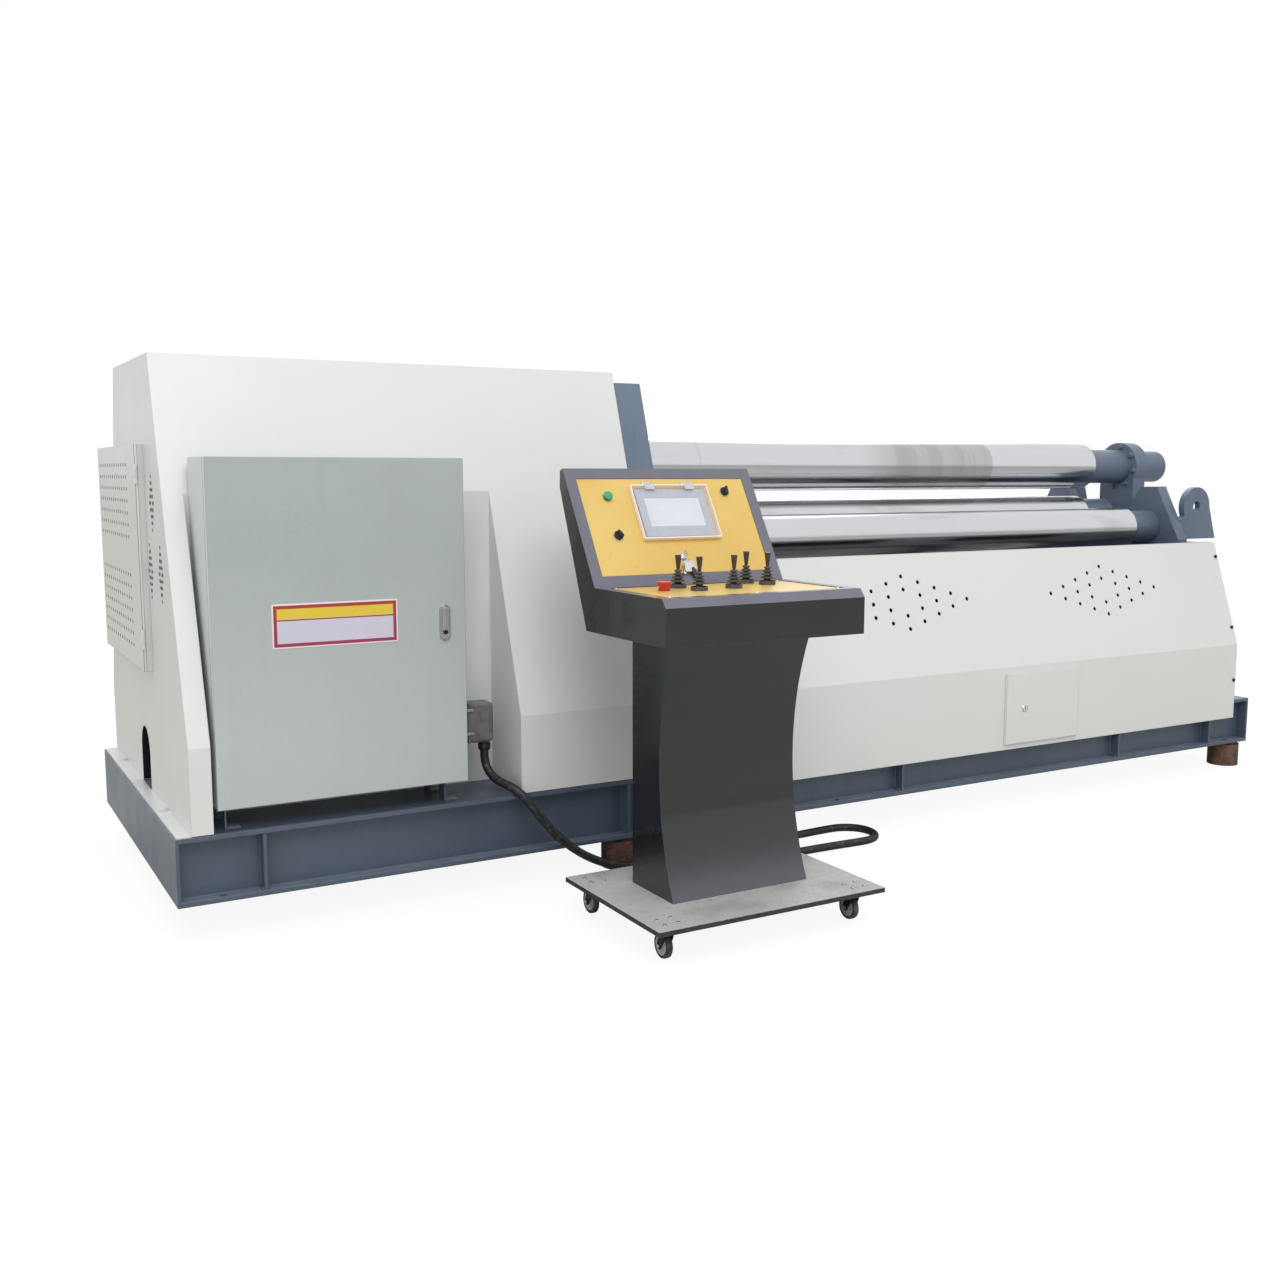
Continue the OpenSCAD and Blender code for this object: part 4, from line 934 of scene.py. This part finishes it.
for z in (0.0385, 0.1145):
    levers += blocks(plug, [(0.037, -0.0325, z, 0.03, 0.009, 0.0065, 0.002),
                            (0.037, 0.0395, z, 0.03, 0.009, 0.0065, 0.002),
                            (0.0285, 0.039, z, 0.0035, 0.0085, 0.078, 0.0012)])
    levers.append(turned([(0, 0), (0.0036, 0), (0.0036, 0.0015), (0.0028, 0.0024), (0, 0.0026)],
                         plug + (0.045, -0.0378, z), outwards))
piece("connector_levers", levers, brushed, "machine")
gland = (cable_route[0][0], plug[1], cable_route[0][2])
nut = [turned([(0, 0.031), (0.017, 0.031), (0.017, 0.024), (0.02, 0.022), (0.02, 0.01),
               (0.0188, 0.003), (0.0165, 0.0), (0.0145, 0.0), (0.0145, 0.003), (0, 0.003)], gland),
       hexagon(0.034, 0.008, np.add(gland, (0, 0, 0.013)), (0, 0, 1))[0]]
dark_plastic, tree, shader = surface("dark_plastic", Roughness=0.4)
feed(tree, shader, colour=mixed(tree, ramp(tree, grain(tree, 70, 4.0), 0.45, 0.75),
                                tone(27, 27, 29), tone(60, 58, 57)),
     roughness=ramp(tree, grain(tree, 35), 0.3, 0.7, 0.32, 0.5), height=grain(tree, 500, 1.0),
     depth=0.0004, normal=soft_edge(tree, 0.001))
gland_nut = piece("gland_nut", nut, dark_plastic, "machine")
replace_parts(gland_nut, "cable_connector")

# ---- Console plate and column ----
# The foot plate is flame-cut steel, its top ground pale and stained, its edges black
# scale. Column and head are folded sheet in glossy charcoal enamel.
plate_steel, tree, shader = surface("foot_plate", Metallic=0.25)
scratches = grain(tree, 1.0, 5.0, (9, 130, 9))
stains = ramp(tree, grain(tree, 5, 6.0), 0.45, 0.68)
grit = ramp(tree, grain(tree, 160, 3.0), 0.58, 0.72)
bright = mixed(tree, scratches, tone(208, 206, 205), tone(188, 187, 186))
stained = mixed(tree, times(tree, stains, 0.6), bright, tone(158, 154, 150))
top = mixed(tree, times(tree, grit, 0.5), stained, tone(120, 116, 112))
scale = mixed(tree, grain(tree, 60, 5.0), tone(40, 40, 42), tone(74, 72, 70))
flat_top = ramp(tree, reading(tree, "Normal", "Z"), 0.6, 0.8)
edge = use(tree, worn, Radius=0.003, Wear=0.6)
feed(tree, shader, colour=mixed(tree, edge["Mask"], mixed(tree, flat_top, scale, top),
                                tone(150, 148, 146)),
     roughness=ramp(tree, scratches, 0.3, 0.7, 0.5, 0.72),
     height=maths(tree, "ADD", scratches, times(tree, grit, 0.5)), depth=0.0008,
     normal=edge["Normal"])
cover_with(plate_steel, "console_plate")


def charcoal_enamel(name, sky_sheen):
    """Glossy charcoal enamel; faces that look up carry a paler, bluish painted sheen, a painted reflection of
    the sky.
    """
    made, tree, shader = surface(name, Coat_Weight=0.6, Coat_Roughness=0.08)
    skin = use(tree, sprayed, Paint=tone(14, 14, 16), Tint=tone(17, 18, 21), Dirt=tone(50, 50, 52),
               Dirt_Amount=0.08, Gloss=0.26)
    edge = use(tree, worn, Radius=0.003, Wear=0.5)
    # Painted reflection: faces that look up are lightened towards a pale blue-grey.
    facing_up = ramp(tree, reading(tree, "Normal", "Z"), 0.25, 0.45, 0.0, sky_sheen)
    painted_sheen = times(tree, facing_up, ramp(tree, grain(tree, 8, 5.0), 0.2, 0.6, 0.85, 1.0))
    colour = mixed(tree, painted_sheen, skin["Color"], tone(106, 107, 122))
    feed(tree, shader, colour=mixed(tree, edge["Mask"], colour, tone(96, 96, 104)),
         roughness=skin["Roughness"], height=skin["Height"], depth=0.0003, normal=edge["Normal"])
    return made


cover_with(charcoal_enamel("column_charcoal", 0.6), "console_column")
cover_with(charcoal_enamel("head_charcoal", 0.95), "console_head")
column_x, back_y = middle("console_column")[0], ends("console_column")[1][1]
sheet_y, rearwards, gland_z, hatch_z = back_y - 0.036, (0, 1, 0), cable_route[-1][2], 0.5
back_nut = [hexagon(0.04, 0.012, (column_x, sheet_y, gland_z), rearwards)[0],
            turned([(0, 0), (0.0205, 0), (0.0215, 0.002), (0.0215, 0.012), (0.0185, 0.0235),
                    (0.0145, 0.0245), (0.0145, 0.018), (0, 0.018)],
                   (column_x, back_y - 0.022, gland_z), rearwards)]
piece("column_gland", back_nut, dark_plastic, "machine")
hatch = block((column_x, back_y - 0.0375, hatch_z), (0.3, 0.42, 0.0015), 0.004, rearwards)
piece("column_hatch", [hatch], bpy.data.materials["column_charcoal"], "machine")
piece("column_hatch_screws",
      [cap_screw(column_x + sx * 0.138, sheet_y, hatch_z + sz * 0.198, rearwards, 0.005)
       for sx in (-1, 1) for sz in (-1, 1)], zinc, "machine")

# ---- Console panels ----
# Aluminium plates, anodised yellow, let into the head: the sloping display face and the
# desk, which is held by cross-head screws.
yellow_plate, tree, shader = surface("yellow_plate", Coat_Weight=0.25, Coat_Roughness=0.25)
cast_over = ramp(tree, grain(tree, 4, 4.0), 0.3, 0.7)
fine = grain(tree, 1.0, 4.0, (260, 16, 16))
colour = mixed(tree, cast_over, tone(222, 186, 96), tone(229, 197, 110))
colour = mixed(tree, times(tree, ramp(tree, grain(tree, 60, 4.0), 0.6, 0.8), 0.35),
               colour, tone(196, 160, 74))
feed(tree, shader, colour=colour, roughness=ramp(tree, fine, 0.3, 0.7, 0.32, 0.46), height=fine,
     depth=0.00015, normal=soft_edge(tree, 0.0015))
cover_with(yellow_plate, "display_panel")

head_lo, head_hi = ends("console_head")
desk_y, desk_z = head_lo[1] + 0.021, head_lo[2] + 0.132
kink_y = desk_y + 0.384
rise = np.array((0.206, head_hi[2] - desk_z))
rise /= np.linalg.norm(rise)
face = -0.002

# The emergency stop's collar on the desk is red.
desk_plate = yellow_plate.copy()
desk_plate.name = "desk_plate"
tree = desk_plate.node_tree
collar_z = float(desk_z + face + 0.0006)
overpaint(desk_plate, maths(tree, "GREATER_THAN", reading(tree, "Object", 2), collar_z),
          tone(176, 30, 28))
cover_with(desk_plate, "desk_panel")


def on_display(parts):
    """Moves parts drawn flat, x from the head's left side, y up the slope and z out of
    it, onto the display face: y goes along the rise and z along its normal."""
    return [(np.stack([head_lo[0] + p[:, 0],
                       kink_y + p[:, 1] * rise[0] - p[:, 2] * rise[1],
                       desk_z + p[:, 1] * rise[1] + p[:, 2] * rise[0]], axis=1), f)
            for p, f in parts]


def on_desk(parts):
    """Moves parts drawn from the head's left side and the desk's front edge onto the desk."""
    return [(p + (head_lo[0], desk_y, desk_z), f) for p, f in parts]


def pan_head(x, y, radius=0.0045):
    """A cross-head screw: a low dome with a rounded rim."""
    return turned([(0, 0), (radius, 0), (radius, 0.0008), (radius * 0.8, 0.002),
                   (radius * 0.3, 0.0026), (radius * 0.15, 0.0012), (0, 0.0012)],
                  (x, y, face), quarter=5)


wide = head_hi[0] - head_lo[0]
inset = 0.05
desk_screws = [pan_head(x, y) for x in (inset, wide / 2, wide - inset) for y in (0.042, 0.345)]
piece("desk_screws", on_desk(desk_screws), chrome, "machine")

# ---- Screen and its clear lid ----
# A touch screen in a moulded grey bezel, under a hinged box of clear acrylic whose
# thick milky edges carry a faint painted glow.
screen_x, screen_y, screen_w, screen_h = 0.208, 0.15, 0.28, 0.19
mid = (screen_x + screen_w / 2, screen_y + screen_h / 2 - 0.002, face)
bezel_plastic = mottled("bezel_plastic", tone(172, 180, 196), tone(184, 190, 204), (12,),
                        rough=(0.3, 0.7, 0.3, 0.4), rough_by=(40,), skin=(600, 1.0),
                        depth=0.0002, Coat_Weight=0.2, Coat_Roughness=0.2)
wide_b, tall_b, deep_b = screen_w - 0.028, screen_h - 0.024, 0.008
side_w, top_h, low_h = 0.11 * wide_b, 0.19 * tall_b, 0.22 * tall_b
up, across = (0, 0, 1), (1, 0, 0)
bezel = blocks(mid, [(0, 0, 0, wide_b, tall_b, 0.0062, 0.003)]
               + [(s * (wide_b - side_w) / 2, 0, 0, side_w, tall_b, deep_b, 0.003)
                  for s in (-1, 1)]
               + [(0, place, 0, wide_b - 0.002, tall, deep_b - 0.0001, 0.003)
                  for place, tall in (((tall_b - top_h) / 2, top_h),
                                      (-(tall_b - low_h) / 2, low_h))], up)
bezel_piece = piece("screen_bezel", on_display(bezel), bezel_plastic, "machine")
display_glass = mottled("display_glass", tone(216, 219, 232), tone(226, 228, 238), (3.0, 2.0),
                        (0.35, 0.65), (0.3, 0.7, 0.12, 0.2), (30,), Coat_Weight=0.5,
                        Coat_Roughness=0.03)
glass = slab(0.001, 0.0055, 0.0066, (mid[0], mid[1] + (low_h - top_h) / 2, face), up, across,
             (wide_b / 2 - side_w, (tall_b - top_h - low_h) / 2), 4)
piece("screen_display", on_display([glass]), display_glass, "machine")
hinge_x, hinge_y = (screen_x + 0.068, screen_x + screen_w - 0.068), screen_y + screen_h
leaves = [block((x, hinge_y + 0.009, face), (0.04, 0.01, 0.006), 0.0015, up) for x in hinge_x]
piece("screen_hinge_plates", on_display(leaves), chrome, "machine")
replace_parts(bezel_piece, "touch_screen")

acrylic, tree, shader = surface("clear_acrylic", Coat_Weight=0.3, Coat_Roughness=0.03)
smudge = ramp(tree, grain(tree, 18, 5.0), 0.4, 0.75)
feed(tree, shader, colour=mixed(tree, smudge, tone(232, 236, 240), tone(240, 240, 240)),
     roughness=ramp(tree, smudge, 0.0, 1.0, 0.04, 0.2))
tree.links.new(ramp(tree, smudge, 0.0, 1.0, 0.08, 0.14), shader.inputs["Alpha"])
# The rim's faint emission is a painted glow that makes its thick edges read pale.
milky_glowing = mottled("acrylic_edge_glow", tone(250, 238, 230), tone(238, 222, 214),
                (1.0, 3.0, (60, 60, 400)), rough=(0.3, 0.7, 0.15, 0.35), Alpha=0.9,
                Emission_Color=(1.0, 0.9, 0.84, 1), Emission_Strength=0.1)
lid_mid = (screen_x + screen_w / 2, screen_y + (screen_h - 0.001) / 2, face)
lid_pull = (screen_w / 2 - 0.006, (screen_h - 0.001) / 2 - 0.006)
sheet = slab(0.0004, 0.0134, 0.0156, lid_mid, up, across, lid_pull, 2)
lid_piece = piece("screen_lid", on_display([sheet]), acrylic, "screen_cover")
rim = turned([(0.0018, 0.0006), (0.0056, 0.0006), (0.006, 0.0012), (0.006, 0.015),
              (0.0052, 0.016), (0.0018, 0.016), (0.0018, 0.0006)], lid_mid, up, across,
             lid_pull, 6)
piece("screen_lid_rim", on_display([rim]), milky_glowing, "screen_cover")
barrels = []
for x in hinge_x:
    barrels += [turned([(0, 0), (0.004, 0), (0.0045, 0.0006), (0.0045, 0.0094),
                        (0.004, 0.01), (0, 0.01)],
                       (x - 0.016 + 0.0108 * k, hinge_y + 0.004, face + 0.011), across)
                for k in range(3)]
    barrels.append(block((x, hinge_y - 0.009, face + 0.0155), (0.034, 0.02, 0.0015), 0.001, up))
    barrels += [turned([(0, 0), (0.0026, 0), (0.002, 0.0012), (0, 0.0014)],
                       (x + s * 0.01, hinge_y - 0.011, face + 0.017)) for s in (-1, 1)]
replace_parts(lid_piece, "screen_cover")
piece("screen_lid_hinges", on_display(barrels), chrome, "screen_cover")

# ---- Buttons and switches ----
# A green push button and two pointer selectors in chromed rings, an emergency stop with
# a fluted skirt, and a key switch with its bunch of keys.
control_at = ((0.127, 0.304), (0.128, 0.17), (0.556, 0.318))
ring_profile = [(0.0152, 0), (0.0185, 0), (0.0185, 0.0022), (0.0175, 0.0042), (0.0158, 0.0042),
                (0.0152, 0.003)]
rings = [turned(ring_profile, (x, y, face), quarter=10) for x, y in control_at]
here = np.arange(len(rings[0][0]) // len(ring_profile))
onward, last_row = (here + 1) % len(here), (len(ring_profile) - 1) * len(here)
inner_wall = np.stack([here, onward, last_row + onward, last_row + here], axis=1)
rings = [(points, np.vstack([faces, inner_wall])) for points, faces in rings]
piece("control_rings", on_display(rings), chrome, "machine")

green_plastic = mottled("green_plastic", tone(36, 158, 104), tone(50, 176, 118), (80,),
                        rough=(0.3, 0.7, 0.22, 0.34), rough_by=(50,), Coat_Weight=0.3,
                        Coat_Roughness=0.1, Subsurface_Weight=0.0)
button = turned([(0, -0.005), (0.011, -0.005), (0.011, 0.0065), (0.014, 0.007),
                 (0.014, 0.0118), (0.0128, 0.0134), (0.009, 0.0142), (0, 0.0146)],
                (*control_at[0], face), quarter=10)
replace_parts(piece("green_push_button", on_display([button]), green_plastic, "green_button"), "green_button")


def pointer_knob(x, y, turn):
    """A selector: a turned disc under a grip in rising, smaller layers. For t from -1 at the
    grip's round end to 1 at its pointer, its half width = 4.6 mm * (1 - 0.45 * ((t + 1) / 2)
    ** 2) * the square root of (1 - 0.75 * t ** 8)."""
    t = np.linspace(-1, 1, 13)
    wide = (0.0046 * (1 - 0.45 * ((t + 1) / 2) ** 2)
            * np.sqrt(np.clip(1 - (np.abs(t) ** 8) * 0.75, 0, 1)))
    outline = np.concatenate([np.stack([s * wide, t * 0.0132], axis=1)[::s] for s in (1, -1)])
    scale = np.array([0, 1.06, 1.0, 0.96, 0.84, 0])
    z = np.array([0.007, 0.007, 0.009, 0.0205, 0.0222, 0.0222])
    rows = np.concatenate([outline[None] * scale[:, None, None], np.broadcast_to(
        z[:, None, None], (len(z), len(outline), 1))], axis=2)
    c, s = np.cos(turn), np.sin(turn)
    rows = rows @ np.array([[c, s, 0], [-s, c, 0], [0, 0, 1]])
    disc = turned([(0, -0.004), (0.011, -0.004), (0.011, 0.0006), (0.0148, 0.0006),
                   (0.0148, 0.0058), (0.0136, 0.0074), (0, 0.0076)], (x, y, face), quarter=10)
    return [disc, (rows.reshape(-1, 3) + (x, y, face), quads(len(z), len(outline), True))]


for name, (x, y), turn in (("selector_left", control_at[1], 0.5),
                           ("selector_right", control_at[2], -0.1)):
    knob = piece(name + "_knob", on_display(pointer_knob(x, y, turn)), dark_plastic, name)
    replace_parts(knob, name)

red_plastic = mottled("red_plastic", tone(206, 40, 36), tone(224, 56, 50), (60,),
                      rough=(0.3, 0.7, 0.25, 0.38), rough_by=(50,), Coat_Weight=0.3,
                      Coat_Roughness=0.12)


def fluted(profile, base, count):
    """A turned form whose radius waves count times round: r * (1 + d * cos(count * a)), the
    depth d given with each (r, h) of the profile."""
    r, h, d = np.array(profile, float).T
    a = np.linspace(0, 2 * np.pi, count * 8, endpoint=False)
    radius = r[:, None] * (1 + d[:, None] * np.cos(count * a))
    rows = np.stack([radius * np.cos(a), radius * np.sin(a),
                     np.broadcast_to(h[:, None], radius.shape)], axis=-1)
    return rows.reshape(-1, 3) + base, quads(len(r), len(a), True)


stop_at = (0.136, 0.216)
stop = fluted([(0, 0.006, 0), (0.0148, 0.006, 0), (0.0148, 0.0142, 0), (0.0162, 0.0152, 0.07),
               (0.0188, 0.02, 0.1), (0.021, 0.0235, 0.06), (0.0228, 0.0252, 0.02),
               (0.023, 0.0264, 0), (0.0218, 0.0275, 0), (0.011, 0.028, 0), (0, 0.0281, 0)],
              (*stop_at, face), 12)
stop_piece = piece("stop_mushroom", on_desk([stop]), red_plastic, "emergency_stop", 50)
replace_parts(stop_piece, "emergency_stop")

key_x, key_y = 0.33, 0.092
lock = (key_x, key_y, face)
key_parts = [turned([(0, 0), (0.012, 0), (0.012, 0.006), (0.011, 0.0078), (0.0085, 0.008),
                     (0.008, 0.0068), (0, 0.0068)], lock, quarter=8),
             turned([(0, 0.0066), (0.006, 0.0066), (0.0056, 0.0095), (0, 0.0098)], lock),
             slab(0.0016, -0.0009, 0.0009, (key_x, key_y, face + 0.0145), across, up,
                  (0.006, 0.003), 3),
             slab(0.0085, -0.001, 0.001, (key_x, key_y, face + 0.0255), across, up,
                  (0.0015, 0.0015), 6)]


def hoop(centre, radius, wire_r, normal):
    """A split ring: a round wire carried round a circle in the plane across normal."""
    n = np.array(normal, float) / np.linalg.norm(normal)
    u = np.cross(n, (1, 0, 0)) / np.linalg.norm(np.cross(n, (1, 0, 0)))
    round_ring, round_wire = 28, 8
    a = np.linspace(0, 2 * np.pi, round_ring, endpoint=False)[:, None, None]
    b = np.linspace(0, 2 * np.pi, round_wire, endpoint=False)[:, None]
    out = np.cos(a) * u + np.sin(a) * np.cross(n, u)
    points = np.array(centre) + radius * out + wire_r * (np.cos(b) * out + np.sin(b) * n)
    faces = quads(round_ring + 1, round_wire, True) % (round_ring * round_wire)
    return points.reshape(-1, 3), faces


key_parts.append(hoop((key_x + 0.002, key_y - 0.014, face + 0.0215), 0.0125, 0.0009,
                      (0.9, 0.1, 0.5)))


def hung(part, spin, lean_x, place):
    """Turns a part drawn flat round its own X by lean_x and round Z by spin, then places it."""
    points, faces = part
    c, s = np.cos(lean_x), np.sin(lean_x)
    d, e = np.cos(spin), np.sin(spin)
    turned_z = np.array([[d, -e, 0], [e, d, 0], [0, 0, 1]])
    leant = np.array([[1, 0, 0], [0, c, -s], [0, s, c]])
    return points @ (turned_z @ leant).T + place, faces


def key_flat():
    """A key drawn hanging down its own -Y: a round bow and a plain blade."""
    bow = slab(0.01, -0.001, 0.001, (0, -0.01, 0), up, across, (0.001, 0.001), 6)
    blade = slab(0.0008, -0.0009, 0.0009, (0, -0.031, 0), up, across, (0.0028, 0.0125), 2)
    return [bow, blade]


ring_low = np.array((key_x + 0.003, key_y - 0.024, face + 0.0135))
bunch = [hung(part, spin, 0.1, ring_low + (dx, 0.002, dz))
         for spin, dx, dz in ((-0.3, -0.006, 0.002), (0.3, 0.006, -0.001), (0.75, 0.01, -0.004))
         for part in key_flat()]
piece("keys", on_display(key_parts + bunch), chrome, "machine")
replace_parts(bpy.data.objects["keys"], "key_switch")
tag_card = mottled("tag_card", tone(232, 232, 230), tone(206, 208, 210), (90, 4.0),
                   skin=(300,), depth=0.0003, Roughness=0.6)
tag = slab(0.003, -0.0006, 0.0006, (0, -0.018, 0), up, across, (0.008, 0.013), 4)
piece("key_tag", on_display([hung(tag, -0.05, 0.12, ring_low + (-0.004, 0.0, 0.006))]), tag_card,
      "machine")
fob = turned([(0, -0.002), (0.004, -0.002), (0.005, 0), (0.004, 0.002), (0, 0.002)],
             (0, -0.03, 0), up, across, (0.004, 0.014), 4)
piece("key_fob", on_display([hung(fob, 0.45, 0.05, ring_low + (0.004, -0.01, -0.003))]),
      dark_plastic, "machine")

# ---- Joysticks ----
# Five levers on a ball in the desk, each with a moulded rubber boot in stepped rings
# and a hard dark brown grip that flares to its flat top.
boot_rubber = mottled("boot_rubber", tone(70, 70, 73), tone(92, 90, 90), (90, 4.0),
                      (0.45, 0.75), (0.0, 1.0, 0.42, 0.65), skin=(350, 2.0), Coat_Weight=0.05)
grip_plastic = mottled("grip_plastic", tone(50, 36, 32), tone(70, 52, 46), (70, 4.0),
                       rough=(0.3, 0.7, 0.3, 0.45), rough_by=(40,), Coat_Weight=0.2,
                       Coat_Roughness=0.15)
cover_with(boot_rubber, "joystick_bases")
pivot_h = face + 0.006
boot = [(0, -0.0055), (0.004, -0.004), (0.0056, 0.0), (0.009, 0.006), (0.011, 0.011)]
for k, r in enumerate((0.0205, 0.0172, 0.0143, 0.0112)):
    h = 0.0128 + 0.0098 * k
    boot += [(r * 0.55, h), (r * 0.96, h + 0.0003), (r, h + 0.0014), (r * 0.98, h + 0.005),
             (r * 0.9, h + 0.0058), (r * 0.55, h + 0.0066)]
boot += [(0.0048, 0.05), (0, 0.05)]
grip = [(0, 0.049), (0.0045, 0.0495), (0.0055, 0.053), (0.0062, 0.06), (0.008, 0.074),
        (0.0094, 0.085), (0.0096, 0.089), (0.009, 0.0912), (0.0065, 0.0919), (0, 0.092)]
stick_at = ((0.236, 0.186), (0.366, 0.202), (0.524, 0.256), (0.224, 0.284), (0.493, 0.325))
for letter, (x, y) in zip("abcde", stick_at):
    stick = piece(f"joystick_{letter}_boot", on_desk([turned(boot, (x, y, pivot_h), quarter=8)]),
                  boot_rubber, f"joystick_{letter}", 50)
    piece(f"joystick_{letter}_grip", on_desk([turned(grip, (x, y, pivot_h), quarter=8)]),
          grip_plastic, f"joystick_{letter}", 50)
    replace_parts(stick, f"joystick_{letter}")
gasket = [(0.011, 0.0002), (0.0214, 0.0002), (0.0214, 0.001), (0.011, 0.001),
          (0.011, 0.0002)]
gaskets = [turned(gasket, (x, y, face), quarter=4) for x, y in stick_at]
piece("joystick_gaskets", on_desk(gaskets), boot_rubber, "machine")
base_screws = [turned([(0, 0), (0.0012, 0), (0.001, 0.0007), (0, 0.0008)],
                      (x + 0.0235 * np.cos(a), y + 0.0235 * np.sin(a), face + 0.0118), quarter=3)
               for x, y in stick_at for a in (0.8, 2.37, 3.94, 5.5)]
piece("joystick_base_screws", on_desk(base_screws), zinc, "machine")

# ---- Castors ----
# Pressed steel forks, blackened, on ball races under the foot plate, each with a
# hard rubber tyre on a pale plastic rim, turning on a zinc-plated bolt.
tyre_rubber = mottled("tyre_rubber", tone(46, 46, 48), tone(110, 106, 102), (45, 5.0),
                      (0.42, 0.72), (0.0, 1.0, 0.5, 0.75), skin=(220,), depth=0.0006,
                      Roughness=0.6)
rim_plastic = mottled("rim_plastic", tone(206, 206, 204), tone(150, 146, 140), (60, 4.0),
                      (0.45, 0.7), skin=(200,), depth=0.0003, Roughness=0.45)
trail = 0.022


def fork_side(x, y, z_top, z_axle, s):
    """One arm of the fork, for s on the left or right: an outline that narrows from the
    race down to a round end about the axle."""
    a = np.linspace(0, 2 * np.pi, 24, endpoint=False)
    out_y, out_z, end_r = np.cos(a), np.sin(a), 0.011
    wide = end_r + 0.01 * np.abs(out_z)
    ring_y = np.where(out_z > 0, y + wide * out_y + trail * (1 - out_z), y + trail + end_r * out_y)
    ring_z = np.where(out_z > 0, z_axle + out_z * (z_top - z_axle), z_axle + end_r * out_z)
    x_in, x_out = x + s * 0.013, x + s * 0.0165
    mid = np.array((0, ring_y.mean(), ring_z.mean()))
    loops = [(0.0, x_in), (1.0, x_in), (1.0, (x_in + x_out) / 2), (0.97, x_out), (0.0, x_out)]
    rows = np.stack([np.stack([np.full(len(a), px), mid[1] + k * (ring_y - mid[1]),
                               mid[2] + k * (ring_z - mid[2])], axis=1) for k, px in loops])
    return rows.reshape(-1, 3), quads(len(loops), len(a), True)


def mirrored(half):
    """A closed profile: half of it at one side of the wheel's middle, the same at the other
    side, and the first point again."""
    near = [(r, -h) for r, h in half]
    return near + half[::-1] + near[:1]


for spot in ("front_left", "front_right", "rear_left", "rear_right"):
    node, wheel = "castor_" + spot, "wheel_" + spot
    wheel_lo, wheel_hi = ends(wheel)
    centre = x, axle_y, axle_z = middle(wheel)
    y, z_top = axle_y - trail, ends(node)[1][2]
    race = turned([(0, 0), (0.031, 0), (0.031, -0.003), (0.029, -0.004), (0.024, -0.0045),
                   (0.0235, -0.006), (0.022, -0.0105), (0.02, -0.0125), (0, -0.0125)],
                  (x, y, z_top), quarter=10)
    arms = [fork_side(x, y, z_top - 0.0115, axle_z, s) for s in (-1, 1)]
    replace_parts(piece("fork_" + spot, [race] + arms, black_oxide, node), node)
    axle = [hexagon(0.013, 0.005, centre + (s * 0.0163, 0, 0), (s, 0, 0))[0] for s in (-1, 1)]
    axle.append(slab(0.004, -0.0165, 0.0165, centre, across, quarter=4))
    piece("axle_" + spot, axle, zinc, node)
    r = (wheel_hi[2] - wheel_lo[2]) / 2
    hub = turned(mirrored([(0.0043, 0.01), (0.009, 0.01), (0.009, 0.0075), (0.022, 0.007),
                           (0.022, 0.0092), (r - 0.01, 0.0092)]), centre, across, quarter=10)
    piece("rim_" + spot, [hub], rim_plastic, wheel)
    tyre = turned(mirrored([(r - 0.0105, 0.0085), (r - 0.003, 0.0098), (r - 0.0008, 0.008),
                            (r, 0.0045)]), centre, across, quarter=14)
    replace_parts(piece("tyre_" + spot, [tyre], tyre_rubber, wheel), wheel)
(left_x, front_y, _), (right_x, rear_y, top_z) = ends("console_plate")
inset, apart = 0.065, 0.022
bolts = [hexagon(0.01, 0.005, (x + a * apart, y + b * apart, top_z - 0.001), up, 0.4)[0]
         for x in (left_x + inset, right_x - inset) for y in (front_y + inset, rear_y - inset)
         for a in (-1, 1) for b in (-1, 1)]
piece("plate_bolts", bolts, zinc, "machine")
